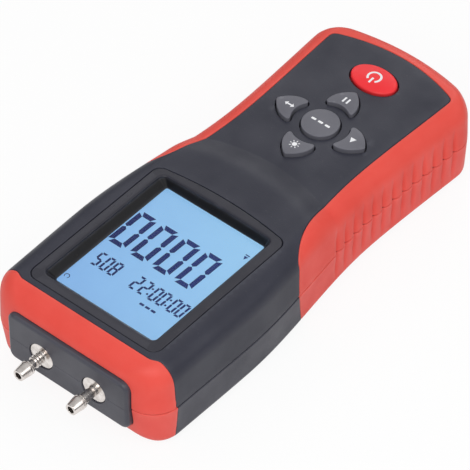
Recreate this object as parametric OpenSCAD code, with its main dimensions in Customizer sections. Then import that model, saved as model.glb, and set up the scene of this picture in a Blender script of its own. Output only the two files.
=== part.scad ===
// Hand-held digital manometer, lying on its back with its face up.
// +Y runs from the handle towards the hose barbs, +X is the reader's right, +Z rises out of the face.
// Stations (the s values) are measured from the handle's end towards the barbs.

/* [Case] */
// Length of the case, without the port block and the barbs
body_l = 196; // [188:1:206]
// Width of the head at the parting line
head_w = 84.2; // [82:0.2:88]
// Width of the handle at its waist
waist_w = 70.6; // [69:0.2:75]
// Width of the handle at its end
tail_w = 75.2; // [72:0.2:79]
// Width of the case at its front end
front_w = 82.6; // [81:0.2:83.4]
// Height of the display plateau
plateau_z = 39.6; // [39.2:0.1:41]
// Height of the key panel
panel_z = 37.2; // [36.8:0.1:38]
// Height of the parting plane and of the hose ports
part_z = 18.9; // [18.4:0.1:19.6]
// Whole thickness of the case wall
wall_t = 3.0; // [2.8:0.1:3.2]
// Thickness of the soft red layer on the wall
grip_t = 1.2; // [1:0.1:1.4]
// Visible gap between the black case halves
seam_gap = 0.4; // [0.2:0.05:0.6]
// Radius of the long upper shoulders
shoulder_r = 8; // [7:0.2:9]
// Radius of the long lower edges
belly_r = 4.1; // [4:0.1:5.5]

/* [Grip] */
// Width of the red strip beside the key panel
strip_w = 7.8; // [7:0.1:9]
// Pitch of the flutes in the grip's sides
flute_pitch = 5.8; // [5.2:0.1:6]
// Depth of a flute at the parting plane
flute_t = 0.9; // [0.5:0.1:1]

/* [Display] */
// Width of the visible display
view_w = 48.2; // [45:0.2:50]
// Length of the visible display
view_l = 62.2; // [58:0.2:63]
// Visible display to the front end of the case
view_front = 18.7; // [18.4:0.1:20]
// Width of the window opening in the plateau
mouth_w = 53.6; // [52:0.2:54.4]
// Width of the frame round the window
bezel_w = 61.8; // [60.6:0.2:62.6]

/* [Keys] */
// Hub key's centre from the handle's end
hub_s = 54.4; // [53:0.2:57]
// Power key's centre from the handle's end
power_s = 22.2; // [21.6:0.1:24]
// Radius of the hub key
hub_r = 7.55; // [7:0.05:7.8]
// Reach of a fan key from the hub's centre
fan_reach = 21.4; // [20.6:0.2:22.4]
// Width of the power key
power_w = 20.5; // [18:0.5:22]
// Height of the keys' tops
key_top_z = 38.9; // [38.3:0.1:39.6]
// Travel of a key
key_travel = 0.9; // [0.5:0.1:1]

/* [Ports] */
// Spacing of the two hose barbs
port_pitch = 25.4; // [24:0.2:28]
// Width of the black port block
block_w = 58; // [56:0.5:60]
// Height of the black port block
block_h = 25.2; // [24:0.2:25.6]
// Reach of a barb from the case's front end
barb_reach = 14.2; // [13:0.1:16]
// Diameter of the bore through a barb
barb_bore_d = 2.6; // [2:0.1:2.8]
// Largest diameter of a barb
barb_d = 5.8; // [5.2:0.1:6.2]
// Diameter of a barb's flange
flange_d = 11.1; // [10.4:0.1:11.6]

/* [Power] */
// Width of the nine-volt battery
cell_w = 26.5; // [26:0.1:26.8]
// Length of the battery without its terminals
cell_l = 46.5; // [46:0.1:47]
// Thickness of the battery
cell_t = 17.2; // [16.6:0.1:17.4]

/* [Hidden] */
over = 1;
// Clearances: bonded layers, moving keys, dropped-in parts, screws in their holes
layer_gap = 0.05;
key_gap = 0.4;
seat_gap = 0.15;
screw_gap = 0.04;

// Where the case changes its section
waist_s = 66;
head_gap = 52;
head_s = body_l - head_gap;
ramp_gap = 114;
ramp_s = body_l - ramp_gap;
ramp_bow = 9;
ramp_l = 12.5;
ramp_flat_share = 0.5;
side_draft = 0.5;
belly_draft = 0.9;
tail_corner_r = 11.5;
tail_edge_r = 5.6;
front_corner_r = 12;
front_edge_r = 9.5;
front_belly_r = 6;
front_rake = 2;
front_rake_l = 26;
tail_bow = 6.8;
tail_bow_l = 32;
tail_more = 1.1;
tail_more_l = 44;
foot_h = 0.8;
floor_z = foot_h + wall_t;
overall_l = body_l + barb_reach;
arc_n = 4;
end_n = 5;
flat_shares = [0.8, 0.4, 0, -0.4, -0.8];
mid_shares = [0, 0.14, 0.28, 0.39, 0.45, 0.51, 0.57, 0.64, 0.82, 1];

// Where the red layer begins
panel_flare_gap = 97;
panel_end_gap = 79.5;
panel_flare_s = body_l - panel_flare_gap;
panel_end_s = body_l - panel_end_gap;
panel_tail_s = 5;
panel_tail_bow = 6.3;
panel_corner_s = panel_tail_s + panel_tail_bow;
back_strip_w = 7.2;
back_end_gap = 82;
back_end_s = body_l - back_end_gap;
back_tail_s = 8;
cap_top_gap = 8.6;
cap_side_gap = 11.1;
cap_top_s = body_l - cap_top_gap;
cap_side_s = body_l - cap_side_gap;
cap_bend_x = 31;
cap_bend_l = 5;
far_x = head_w;
flare_power = 0.8;
tail_edge_shares = [0.25, 0.5, 0.75, 0.97];
back_edge_shares = [0.5, 0.97];

// Flutes of the grip
flute_n = 13;
flute_s = 18.6;
flute_r = 3;
flute_tilt = 4;
flute_l = 13;

// Display stack, from the board upwards
board_t = 1.6;
light_t = 3;
glass_t = 2.5;
lens_t = 0.7;
stack_gap = 0.1;
lens_drop = 2.7;
lens_z = panel_z - lens_drop;
glass_z = lens_z - stack_gap - glass_t;
light_z = glass_z - light_t;
board_top_z = light_z - stack_gap;
board_z = board_top_z - board_t;
view_s = body_l - view_front - view_l / 2;
glass_rim = 2.1;
frame_t = 1.4;
bezel_rim = 2.2;
bezel_r = 4;
bezel_bow = 2.2;
mouth_tail = 0.9;
mouth_front = 3.7;
bezel_tail = 3.7;
bezel_front = 7.2;
bezel_lip = 2.3;
bezel_seat_z = plateau_z - bezel_lip;
bezel_bow_shares = [-1, -0.75, -0.5, -0.25, 0, 0.25, 0.5, 0.75, 1];
view_r = 0.8;
strip_t = 2;

// Keys
key_lip = 0.7;
key_lip_z = panel_z - wall_t - stack_gap;
key_edge = 0.7;
key_seat_h = 3.1;
key_seat_z = board_top_z + key_seat_h;
pill_r = 2.4;
pill_hole_r = 3.2;
pill_gap = 0.2;
pad_t = 0.1;
pill_z = board_top_z + pad_t + key_travel + pill_gap / 2;
mat_t = 2;
mat_w = 40.6;
mat_margin = 7;
fan_root_r = 9;
fan_root_y = 12.2;
fan_root_angle = 32.7;
fan_bulge_x = 5.5;
fan_bulge_share = 0.575;
fan_r = 1;
fan_pill_r = 14.2;
power_l_share = 0.68;

// Board, its posts and what it carries
board_head_w = 58.8;
board_neck_w = 41;
board_tail_s = 9;
board_neck_gap = 94;
board_neck_s = body_l - board_neck_gap;
board_front_gap = 8.6;
post_r = 2.2;
board_screw_d = 2;
board_pilot_d = board_screw_d + 2 * screw_gap;
board_screw_l = 5.6;
board_head_d = 3.8;
board_head_t = 1.3;
post_front_gap = 10.8;
post_mid_side = 3.5;
post_mid_x = board_neck_w / 2 - post_mid_side;
post_mid_gap = 105;
post_mid_s = body_l - post_mid_gap;
post_tail_s = 12.1;
post_front_side = 3.9;
post_front_x = board_head_w / 2 - post_front_side;
chip_t = 1.6;
wide_chip_w = 12;
flat_chip_w = 9;
flat_chip_l = 6;
main_chip_x = 8;
main_chip_gap = 70;
amp_chip_x = 14;
amp_chip_gap = 68;
flash_chip_x = 13;
flash_chip_gap = 90;
power_chip_s = 60;
buzzer_r = 6;
buzzer_hole_r = 1;
buzzer_h = 6;
buzzer_gap = 98;
buzzer_s = body_l - buzzer_gap;
buzzer_x = 12.5;
sensor_w = 16;
sensor_h = 8.2;
sensor_gap = 46;
sensor_s = body_l - sensor_gap;
nipple_x = 4.5;
nipple_r = 1.6;
nipple_l = 8;
nipple_drop = 4.6;
nipple_z = board_z - nipple_drop;

// Case screws
boss_r = 3.3;
screw_d = 3;
screw_hole_d = screw_d + 2 * screw_gap;
screw_l = 20;
recess_share = 0.6;
recess_slot_share = 0.16;
screw_head_d = 5.4;
screw_head_t = 2.2;
screw_seat_z = 9;
sink_d = 6;
head_boss_side = 8.5;
head_boss_x = head_w / 2 - head_boss_side;
head_boss_front = 28;
tail_boss_side = 11.6;
tail_boss_x = tail_w / 2 - tail_boss_side;
tail_boss_s = 20;
boss_gap = 0.05;

// Port block
block_r = 3;
block_out = 2.4;
block_bevel = 2.5;
block_back = 7.8;
block_lip = 1;
block_lip_t = 1.6;
port_z = part_z;
flange_t = 1;
flange_sink = 0.5;
seal_t = 0.8;
seal_rim = 0.5;
shank_d = 6;
shank_hole_d = shank_d + 2 * screw_gap;
neck_d = 3.6;
barb_l = 6.2;
barb_nose_d = 4.3;
barb_land = 0.6;
ring_d = 4.8;
ring_t = 0.5;
ring_pitch = 1.5;
nut_t = 2.6;
nut_w = 10;
tail_d = 4;
tail_l = 8;
shank_back = 12.4;

// Inner hoses
hose_d = 6.4;
hose_sides = 12;
hose_rings = 10;
hose_gap = 0.1;
hose_run_over = 0.04;
hose_start_share = 0.28;
hose_bend_share = 0.44;

// Battery bay
door_t = 2;
bay_wall = 1.5;
bay_gap = 0.6;
cell_s = 26;
cell_gap = 0.2;
cell_head = 1;
cell_z = foot_h + door_t + cell_gap;
bay_top_z = cell_z + cell_t + cell_head;
terminal_x = 6.35;
terminal_r = 3.6;
terminal_l = 2.8;
clip_t = 4;
clip_w = 24;
clip_h = 11;
door_w = 35;
door_s = 18;
door_l = 70;
door_gap = 0.2;
door_r = 2;
door_screw_s = 83.5;
door_boss_r = 6;
door_pad_r = 4.4;
door_pad_t = 1.4;
door_boss_z = 10;
door_top_z = foot_h + door_t + seat_gap;
lead_d = 1.5;
lead_x = 5.4;
lead_sides = 8;
lead_notch_w = 16;

// Feet
foot_r = 4.5;
foot_t = 1.6;
foot_tail_x = 23;
foot_tail_s = 30;
foot_front_x = 34.3;
foot_front_gap = 43;

function clamp_share(t) = max(0, min(1, t));
function ease(t) = let (c = clamp_share(t)) c * c * (3 - 2 * c);
// How far a rounded end of radius r has drawn in at distance t from its tip
function round_drop(r, t) = t >= r ? 0 : r - sqrt(max(0, r * r - (r - t) * (r - t)));
// Half the case's width at a station
function half_w(s) = waist_w / 2
    + (head_w - waist_w) / 2 * ease((s - waist_s) / (head_s - waist_s))
    + (tail_w - waist_w) / 2 * ease((waist_s - s) / waist_s)
    - (head_w - front_w) / 2 * ease((s - head_s) / (body_l - head_s));
// Share of the ramp's height: straight from its crease, then rounded to level
function ramp_rise(t) = let (c = clamp_share(t)) c < ramp_flat_share
    ? 2 * c / (1 + ramp_flat_share)
    : 1 - (1 - c) * (1 - c) / (1 - ramp_flat_share * ramp_flat_share);
// Height of the face: u is the share of the half width
function deck_z(u, s) = panel_z + (plateau_z - panel_z) * ramp_rise((s - ramp_s - ramp_bow * u * u) / ramp_l);
function section_w(s, inset) = half_w(s) - inset
    - round_drop(tail_corner_r - inset, s - inset)
    - round_drop(front_corner_r - inset, body_l - inset - s);
function stations(inset) = let (
    a = tail_corner_r - inset,
    b = front_corner_r - inset,
    low = inset + a,
    high = body_l - inset - b)
    concat(
        [for (i = [0 : end_n - 1]) inset + a * (1 - cos(90 * i / end_n))],
        [for (t = mid_shares) low + (high - low) * t],
        [for (i = [end_n - 1 : -1 : 0]) body_l - inset - b * (1 - cos(90 * i / end_n))]);
// The handle's end is bowed, so points beside the middle plane lie further in
function bowed(x, s) = s - tail_more * (1 - ease(s / tail_more_l))
    + tail_bow * pow(2 * x / tail_w, 2) * (1 - ease(s / tail_bow_l));
// The front leans back below the parting plane
function raked(s, z) = z >= part_z ? s
    : s - front_rake * (part_z - z) / part_z * ease((s - body_l + front_rake_l) / front_rake_l);

// Section points from the right rim over the face to the left rim
function upper_ring(s, inset, rim_z) = let (
    w = section_w(s, inset),
    r = shoulder_r - inset,
    cx = w - side_draft - r,
    drop = inset + round_drop(tail_edge_r - inset, s - inset)
        + round_drop(front_edge_r - inset, body_l - inset - s),
    edge_z = deck_z(cx / half_w(s), s) - drop - r)
    concat([[w, rim_z]],
        [for (i = [0 : arc_n]) [cx + r * cos(90 * i / arc_n), edge_z + r * sin(90 * i / arc_n)]],
        [for (u = flat_shares) [u * cx, deck_z(u * cx / half_w(s), s) - drop]],
        [for (i = [arc_n : -1 : 0]) [-cx - r * cos(90 * i / arc_n), edge_z + r * sin(90 * i / arc_n)]],
        [[-w, rim_z]]);
// Section points from the right rim under the back to the left rim
function lower_ring(s, inset, rim_z) = let (
    w = section_w(s, inset),
    r = belly_r - inset,
    cx = w - belly_draft - r,
    rise = inset + round_drop(belly_r - inset, s - inset)
        + round_drop(front_belly_r - inset, body_l - inset - s),
    edge_z = foot_h + rise + r)
    concat([[w, rim_z]],
        [for (i = [0 : arc_n]) [cx + r * cos(90 * i / arc_n), edge_z - r * sin(90 * i / arc_n)]],
        [for (i = [arc_n : -1 : 0]) [-cx - r * cos(90 * i / arc_n), edge_z - r * sin(90 * i / arc_n)]],
        [[-w, rim_z]]);

// Solid between a row of sections and the flat plane at rim_z
module loft(rings, st, rim_z, down) {
    m = len(rings[0]);
    n = len(rings);
    loop = 2 * m - 2;
    points = [for (k = [0 : n - 1]) each concat(
        [for (p = rings[k]) [p[0], bowed(p[0], raked(st[k], p[1])), p[1]]],
        [for (i = [m - 2 : -1 : 1]) let (x = rings[k][i][0]) [x, bowed(x, raked(st[k], rim_z)), rim_z]])];
    sides = [for (k = [0 : n - 2], i = [0 : loop - 1]) let (
        j = (i + 1) % loop,
        a = k * loop,
        b = a + loop)
        each [[a + i, a + j, b + j], [a + i, b + j, b + i]]];
    start = [for (i = [0 : m - 2]) each i == 0 ? [[0, loop - 1, 1]]
        : i == m - 2 ? [[i, loop - i, m - 1]]
        : [[i, loop - i, loop - i - 1], [i, loop - i - 1, i + 1]]];
    last = (n - 1) * loop;
    end = [for (f = start) [last + f[2], last + f[1], last + f[0]]];
    faces = concat(sides, start, end);
    polyhedron(
        points = points,
        faces = down ? [for (f = faces) [f[2], f[1], f[0]]] : faces,
        convexity = 6);
}

module upper_skin(inset, rim_z) {
    st = stations(inset);
    loft([for (s = st) upper_ring(s, inset, rim_z)], st, rim_z, false);
}

module lower_skin(inset, rim_z) {
    st = stations(inset);
    loft([for (s = st) lower_ring(s, inset, rim_z)], st, rim_z, true);
}

// Puts what is drawn in stations into the part's frame
module placed() {
    translate([0, (tail_more - overall_l) / 2, 0]) children();
}

// Upright block with rounded upright edges, centred on x
module pill_block(w, l, h, r) {
    linear_extrude(h) {
        translate([-w / 2 + r, -l / 2]) square([w - 2 * r, l]);
        translate([-w / 2, -l / 2 + r]) square([w, l - 2 * r]);
        for (x = [-1, 1], y = [-1, 1]) {
            translate([x * (w / 2 - r), y * (l / 2 - r)]) circle(r = r, $fn = 32);
        }
    }
}

// Rounded sheet across the port axis: its front face at s, its thickness t towards the handle
module port_slab(w, h, r, s, t) {
    translate([0, s, port_z]) rotate([90, 0, 0]) pill_block(w, h, t, r);
}

// Cone or cylinder along the port axis, from station a to station b
module port_rod(x, a, b, d, d_end) {
    translate([x, a, port_z]) rotate([-90, 0, 0]) cylinder(d1 = d, d2 = d_end, h = b - a, $fn = 48);
}

// Straight hole on the left (-1) or right (1) port's axis
module port_hole(side, a, b, d) {
    port_rod(side * port_pitch / 2, a, b, d, d);
}

function mirrored(side) = concat(
    [for (p = side) p],
    [for (i = [len(side) - 1 : -1 : 0]) [-side[i][0], side[i][1]]]);

// Half outlines of the black fields, from the handle's end to the head
function face_side() = concat(
    [for (t = tail_edge_shares)
        [t * (half_w(panel_corner_s) - strip_w), panel_tail_s + panel_tail_bow * t * t]],
    [for (i = [0 : 5]) let (s = panel_corner_s + over + (panel_flare_s - panel_corner_s - over) * i / 5)
        [half_w(s) - strip_w, s]],
    [for (i = [1 : 6]) let (t = i / 6, s = panel_flare_s + (panel_end_s - panel_flare_s) * t)
        [half_w(s) - strip_w * pow(1 - t, flare_power), s]]);
function back_side() = let (corner_s = back_tail_s + panel_tail_bow) concat(
    [for (t = back_edge_shares)
        [t * (half_w(back_tail_s) - back_strip_w), back_tail_s + panel_tail_bow * t * t]],
    [for (i = [1 : 6]) let (s = corner_s + (panel_flare_s - corner_s) * i / 6) [half_w(s) - back_strip_w, s]],
    [for (i = [1 : 4]) let (t = i / 4, s = panel_flare_s + (back_end_s - panel_flare_s) * t)
        [half_w(s) - back_strip_w * pow(1 - t, flare_power), s]]);
function cap_edge() = [
    [cap_bend_x, cap_top_s],
    [cap_bend_x + cap_bend_l / 2, (cap_top_s + cap_side_s) / 2],
    [cap_bend_x + cap_bend_l, cap_side_s],
    [far_x, cap_side_s]];

// Plan of the handle's red layer: everything outside the black field
module grip_plan(side, end_s) {
    difference() {
        translate([-far_x, -far_x]) square([2 * far_x, far_x + end_s]);
        polygon(mirrored(concat(side, [[far_x, end_s + over], [far_x, end_s + far_x]])));
    }
}

module cap_plan() {
    edge = cap_edge();
    polygon(concat(
        [for (i = [len(edge) - 1 : -1 : 0]) [-edge[i][0], edge[i][1]]],
        edge,
        [[far_x, body_l + far_x], [-far_x, body_l + far_x]]));
}

module flutes() {
    for (i = [0 : flute_n - 1], side = [-1, 1]) {
        s = flute_s + flute_pitch * i;
        translate([side * (half_w(s) + flute_r - flute_t), s, part_z]) {
            for (a = [flute_tilt, 180 - flute_tilt]) rotate([0, side * a, 0]) translate([0, 0, -over]) {
                cylinder(r = flute_r, h = flute_l, $fn = 32);
            }
        }
    }
}

// Room that the port block takes in the front wall
module block_room() {
    w = block_w + 2 * seat_gap;
    h = block_h + 2 * seat_gap;
    port_slab(w, h, block_r, body_l + over, block_back + 2 * over);
}

module at_head_bosses() {
    for (x = [-1, 1]) translate([x * head_boss_x, body_l - head_boss_front, 0]) children();
}

module at_tail_bosses() {
    for (x = [-1, 1]) translate([x * tail_boss_x, tail_boss_s, 0]) children();
}

module at_case_bosses() {
    at_head_bosses() children();
    at_tail_bosses() children();
}

module at_front_posts() {
    for (x = [-1, 1]) translate([x * post_front_x, body_l - post_front_gap, 0]) children();
}

module at_handle_posts() {
    for (x = [-1, 1]) translate([x * post_mid_x, post_mid_s, 0]) children();
    translate([0, post_tail_s, 0]) children();
}

module at_posts() {
    at_front_posts() children();
    at_handle_posts() children();
}

module at_feet() {
    for (x = [-1, 1]) {
        translate([x * foot_front_x, body_l - foot_front_gap, 0]) children();
        translate([x * foot_tail_x, foot_tail_s, 0]) children();
    }
}

// Outline of the window frame, with a bowed edge towards the keys
module bezel_plan(grow) {
    w = bezel_w / 2 + grow;
    low = view_s - view_l / 2 - bezel_tail - grow;
    high = view_s + view_l / 2 + bezel_front + grow;
    r = bezel_r + grow;
    for (x = [-1, 1]) {
        translate([x * (w - r), low + r]) circle(r = r, $fn = 32);
        translate([x * (w - r), high - r]) circle(r = r, $fn = 32);
    }
    translate([-w + r, high - 2 * r]) square([2 * (w - r), 2 * r]);
    polygon(concat(
        [for (t = bezel_bow_shares) [t * (w - r), low - bezel_bow * (1 - t * t)]],
        [[w, low + r], [w, high - r], [-w, high - r], [-w, low + r]]));
}

// One fan key's outline, with its root towards the hub and its tip along +Y
module fan_plan() {
    root = fan_root_r + fan_r;
    centre = fan_root_y - fan_root_r;
    tip = fan_reach - fan_r;
    x = root * sin(fan_root_angle);
    y = centre + root * cos(fan_root_angle);
    bulge_y = y + (tip - y) * fan_bulge_share;
    offset(r = fan_r, $fn = 24) polygon(mirrored(concat(
        [for (i = [0 : 5]) let (a = fan_root_angle * i / 5) [root * sin(a), centre + root * cos(a)]],
        [for (i = [1 : 7]) let (t = i / 8, a = (1 - t) * (1 - t), b = 2 * t * (1 - t))
            [a * x + b * fan_bulge_x, a * y + b * bulge_y + t * t * tip]],
        [[0, tip]])));
}

module power_plan() {
    scale([1, power_l_share]) circle(d = power_w, $fn = 64);
}

// Turns a fan key's outline about the hub's centre
module at_fan(turn) {
    translate([0, hub_s]) rotate(turn) children();
}

// Prism of a key's outline between two heights
module key_prism(low, high, grow, kind, turn) {
    translate([0, 0, low]) linear_extrude(high - low) {
        if (kind == "hub") translate([0, hub_s]) circle(r = hub_r + grow, $fn = 64);
        if (kind == "power") translate([0, power_s]) offset(delta = grow) power_plan();
        if (kind == "fan") at_fan(turn) offset(delta = grow) fan_plan();
    }
}

module key_body(kind, turn) {
    key_prism(key_seat_z, key_lip_z, key_lip, kind, turn);
    key_prism(key_lip_z - stack_gap, key_top_z - key_edge, 0, kind, turn);
    key_prism(key_top_z - key_edge - stack_gap, key_top_z, -key_edge / 2, kind, turn);
    at_pill(kind, turn) translate([0, 0, pill_z]) {
        cylinder(r = pill_r, h = key_seat_z - pill_z + stack_gap, $fn = 32);
    }
}

module at_pill(kind, turn) {
    if (kind == "hub") translate([0, hub_s, 0]) children();
    if (kind == "power") translate([0, power_s, 0]) children();
    if (kind == "fan") translate([0, hub_s, 0]) rotate(turn) translate([0, fan_pill_r, 0]) children();
}

module at_all_pills() {
    at_pill("hub", 0) children();
    at_pill("power", 0) children();
    for (turn = [0, 90, 180, 270]) at_pill("fan", turn) children();
}

module key_holes() {
    high = panel_z + over;
    low = panel_z - wall_t - over;
    key_prism(low, high, key_gap, "hub", 0);
    key_prism(low, high, key_gap, "power", 0);
    for (turn = [0, 90, 180, 270]) key_prism(low, high, key_gap, "fan", turn);
}

module top_case() {
    color("#46464f") placed() {
        difference() {
            upper_skin(0, part_z + seam_gap / 2);
            upper_skin(wall_t, part_z - over);
            difference() {
                linear_extrude(plateau_z + over) {
                    grip_plan(face_side(), panel_end_s);
                    cap_plan();
                }
                upper_skin(grip_t + layer_gap, part_z - over);
            }
            translate([0, 0, bezel_seat_z]) linear_extrude(bezel_lip + over) bezel_plan(seat_gap);
            translate([0, 0, part_z]) linear_extrude(plateau_z) bezel_plan(-bezel_rim);
            key_holes();
            block_room();
        }
        difference() {
            union() {
                at_head_bosses() translate([0, 0, part_z + boss_gap]) {
                    cylinder(r = boss_r, h = bezel_seat_z - part_z - 2 * boss_gap, $fn = 40);
                }
                at_tail_bosses() translate([0, 0, part_z + boss_gap]) {
                    cylinder(r = boss_r, h = panel_z - wall_t / 2 - part_z - boss_gap, $fn = 40);
                }
            }
            at_case_bosses() translate([0, 0, part_z - over]) {
                cylinder(d = screw_hole_d, h = screw_seat_z + screw_l - part_z + 2 * over, $fn = 32);
            }
        }
        difference() {
            union() {
                at_handle_posts() translate([0, 0, board_top_z]) {
                    cylinder(r = post_r, h = panel_z - wall_t / 2 - board_top_z, $fn = 32);
                }
                at_front_posts() translate([0, 0, board_top_z]) {
                    cylinder(r = post_r, h = bezel_seat_z - boss_gap - board_top_z, $fn = 32);
                }
            }
            at_posts() translate([0, 0, board_top_z - over]) {
                cylinder(d = board_pilot_d, h = board_screw_l + over - board_t / 2, $fn = 24);
            }
        }
    }
}

module bottom_case() {
    color("#4e4e57") placed() difference() {
        union() {
            difference() {
                lower_skin(0, part_z - seam_gap / 2);
                lower_skin(wall_t, part_z + over);
                difference() {
                    translate([0, 0, -over]) linear_extrude(part_z + 4 * over) {
                        grip_plan(back_side(), back_end_s);
                        cap_plan();
                    }
                    lower_skin(grip_t + layer_gap, part_z + over);
                }
            }
            at_case_bosses() translate([0, 0, floor_z - wall_t / 2]) {
                cylinder(r = boss_r + (sink_d - screw_d) / 2, h = screw_seat_z + wall_t - floor_z, $fn = 40);
                cylinder(r = boss_r, h = part_z - boss_gap - floor_z + wall_t / 2, $fn = 40);
            }
            bay_walls();
            translate([0, door_screw_s, floor_z - wall_t / 2]) {
                cylinder(r = door_boss_r, h = door_boss_z - floor_z + wall_t / 2, $fn = 40);
            }
        }
        block_room();
        at_case_bosses() {
            translate([0, 0, -over]) cylinder(d = sink_d, h = screw_seat_z + over, $fn = 32);
            translate([0, 0, screw_seat_z - over]) cylinder(d = screw_hole_d, h = part_z, $fn = 32);
        }
        at_feet() translate([0, 0, -over]) cylinder(r = foot_r + seat_gap / 2, h = foot_t + over, $fn = 40);
        translate([0, door_s + door_l / 2, -over]) {
            pill_block(door_w + 2 * door_gap, door_l + 2 * door_gap, door_top_z + over, door_r);
        }
        bay_room();
        translate([0, door_screw_s, 0]) {
            cylinder(r = door_pad_r + door_gap, h = door_top_z + door_pad_t, $fn = 40);
            cylinder(d = screw_hole_d, h = door_boss_z - door_t / 2, $fn = 32);
        }
    }
}

// Clear space for the battery and its clip, through the floor
module bay_room() {
    low = cell_s - bay_gap;
    high = cell_s + cell_l + terminal_l + clip_t;
    translate([-cell_w / 2 - bay_gap, low, 0]) cube([cell_w + 2 * bay_gap, high - low, bay_top_z + over]);
    translate([-lead_notch_w / 2, high - over, cell_z + cell_t / 2 - lead_d]) {
        cube([lead_notch_w, bay_wall + 2 * over, cell_t]);
    }
}

module bay_walls() {
    low = cell_s - bay_gap - bay_wall;
    high = cell_s + cell_l + terminal_l + clip_t + bay_wall;
    translate([-cell_w / 2 - bay_gap - bay_wall, low, floor_z - wall_t / 2]) {
        cube([cell_w + 2 * (bay_gap + bay_wall), high - low, bay_top_z - floor_z + wall_t / 2]);
    }
}

module grip_top() {
    color("#e8503f") placed() difference() {
        upper_skin(0, part_z + boss_gap);
        upper_skin(grip_t, part_z - over);
        difference() {
            translate([-far_x, -far_x, 0]) cube([2 * far_x, body_l + 2 * far_x, plateau_z + over]);
            translate([0, 0, -over]) linear_extrude(plateau_z + 3 * over) {
                offset(delta = -layer_gap) grip_plan(face_side(), panel_end_s);
            }
        }
        flutes();
    }
}

module grip_bottom() {
    color("#de4f42") placed() difference() {
        lower_skin(0, part_z - boss_gap);
        lower_skin(grip_t, part_z + over);
        difference() {
            translate([-far_x, -far_x, -over]) cube([2 * far_x, body_l + 2 * far_x, plateau_z]);
            translate([0, 0, -2 * over]) linear_extrude(plateau_z + 3 * over) {
                offset(delta = -layer_gap) grip_plan(back_side(), back_end_s);
            }
        }
        flutes();
    }
}

module cap_top() {
    color("#f0584a") placed() difference() {
        upper_skin(0, part_z + boss_gap);
        upper_skin(grip_t, part_z - over);
        difference() {
            translate([-far_x, -far_x, 0]) cube([2 * far_x, body_l + 2 * far_x, plateau_z + over]);
            translate([0, 0, -over]) linear_extrude(plateau_z + 3 * over) {
                offset(delta = -layer_gap) cap_plan();
            }
        }
        block_room();
    }
}

module cap_bottom() {
    color("#e25244") placed() difference() {
        lower_skin(0, part_z - boss_gap);
        lower_skin(grip_t, part_z + over);
        difference() {
            translate([-far_x, -far_x, -over]) cube([2 * far_x, body_l + 2 * far_x, plateau_z]);
            translate([0, 0, -2 * over]) linear_extrude(plateau_z + 3 * over) {
                offset(delta = -layer_gap) cap_plan();
            }
        }
        block_room();
    }
}

module port_block() {
    front = body_l + block_out;
    shoulder = front - block_bevel;
    small_w = block_w - 2 * block_bevel;
    small_h = block_h - 2 * block_bevel;
    color("#3c3c46") placed() difference() {
        union() {
            port_slab(block_w, block_h, block_r, shoulder, block_back + block_out - block_bevel);
            hull() {
                port_slab(block_w, block_h, block_r, shoulder, layer_gap);
                port_slab(small_w, small_h, block_r / 2, front, layer_gap);
            }
            port_slab(block_w + 2 * block_lip, block_h + 2 * block_lip, block_r,
                body_l - wall_t - front_rake - seat_gap, block_lip_t);
        }
        for (x = [-1, 1]) {
            port_hole(x, body_l - block_back - over, front + over, shank_hole_d);
            port_hole(x, flange_front() - flange_t - seal_t, front + over, flange_d + 2 * seat_gap);
        }
    }
}

function flange_front() = body_l + block_out - flange_sink;

module barb(side, rings) {
    x = side * port_pitch / 2;
    face = flange_front();
    tip = body_l + barb_reach;
    land = tip - barb_l + barb_land;
    root = body_l - shank_back;
    difference() {
        union() {
            port_hole(side, root - tail_l, root, tail_d);
            port_hole(side, root, face - flange_t, shank_d);
            port_hole(side, face - flange_t, face, flange_d);
            port_rod(x, face, face + neck_d / 3, neck_d + 2 * ring_t, neck_d);
            port_hole(side, face, land - barb_land, neck_d);
            port_rod(x, land - barb_land, land, barb_d - 2 * barb_land, barb_d);
            port_rod(x, land, tip, barb_d, barb_nose_d);
            for (i = [1 : 1 : rings]) {
                port_hole(side, face + ring_pitch * i, face + ring_pitch * i + ring_t, ring_d);
            }
        }
        port_hole(side, root - tail_l - over, tip + over, barb_bore_d);
    }
}

module barb_left() {
    color("#d8d2ce") placed() barb(-1, 0);
}

module barb_right() {
    color("#d8d2ce") placed() barb(1, 3);
}

module barb_nuts() {
    back = body_l - block_back;
    color("#c9b26a") placed() for (x = [-1, 1]) difference() {
        translate([x * port_pitch / 2, back - nut_t, port_z]) rotate([-90, 0, 0]) {
            cylinder(d = nut_w, h = nut_t, $fn = 6);
        }
        port_hole(x, back - nut_t - over, back + over, shank_hole_d);
    }
}

module barb_seals() {
    back = flange_front() - flange_t - seal_t;
    color("#202024") placed() for (x = [-1, 1]) difference() {
        port_hole(x, back, back + seal_t, flange_d - 2 * seal_rim);
        port_hole(x, back - over, back + seal_t + over, shank_hole_d);
    }
}

module bezel() {
    seat_z = bezel_seat_z + layer_gap;
    foot_z = lens_z + lens_t;
    color("#42424b") placed() difference() {
        union() {
            translate([0, 0, seat_z]) linear_extrude(plateau_z - seat_z) bezel_plan(0);
            translate([0, 0, foot_z]) linear_extrude(seat_z + layer_gap - foot_z) {
                bezel_plan(-bezel_rim - seat_gap);
            }
        }
        hull() {
            translate([0, view_s, foot_z - over]) pill_block(view_w - over, view_l - over, layer_gap, view_r);
            translate([0, view_s + (mouth_front - mouth_tail) / 2, plateau_z]) {
                pill_block(mouth_w, view_l + mouth_tail + mouth_front, over, bezel_r / 2);
            }
        }
    }
}

module window() {
    color("#cfe2f5", 0.35) placed() translate([0, view_s, lens_z]) {
        pill_block(view_w + 2 * glass_rim, view_l + 2 * glass_rim, lens_t, view_r);
    }
}

module lcd_cell() {
    color("#8fbce8") placed() translate([0, view_s, glass_z]) {
        pill_block(view_w + 2 * glass_rim, view_l + 2 * glass_rim, glass_t, view_r);
    }
}

module backlight() {
    color("#eef4fa") placed() translate([0, view_s, light_z]) {
        pill_block(view_w + 2 * glass_rim, view_l - 2 * strip_t, light_t, view_r);
    }
}

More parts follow.
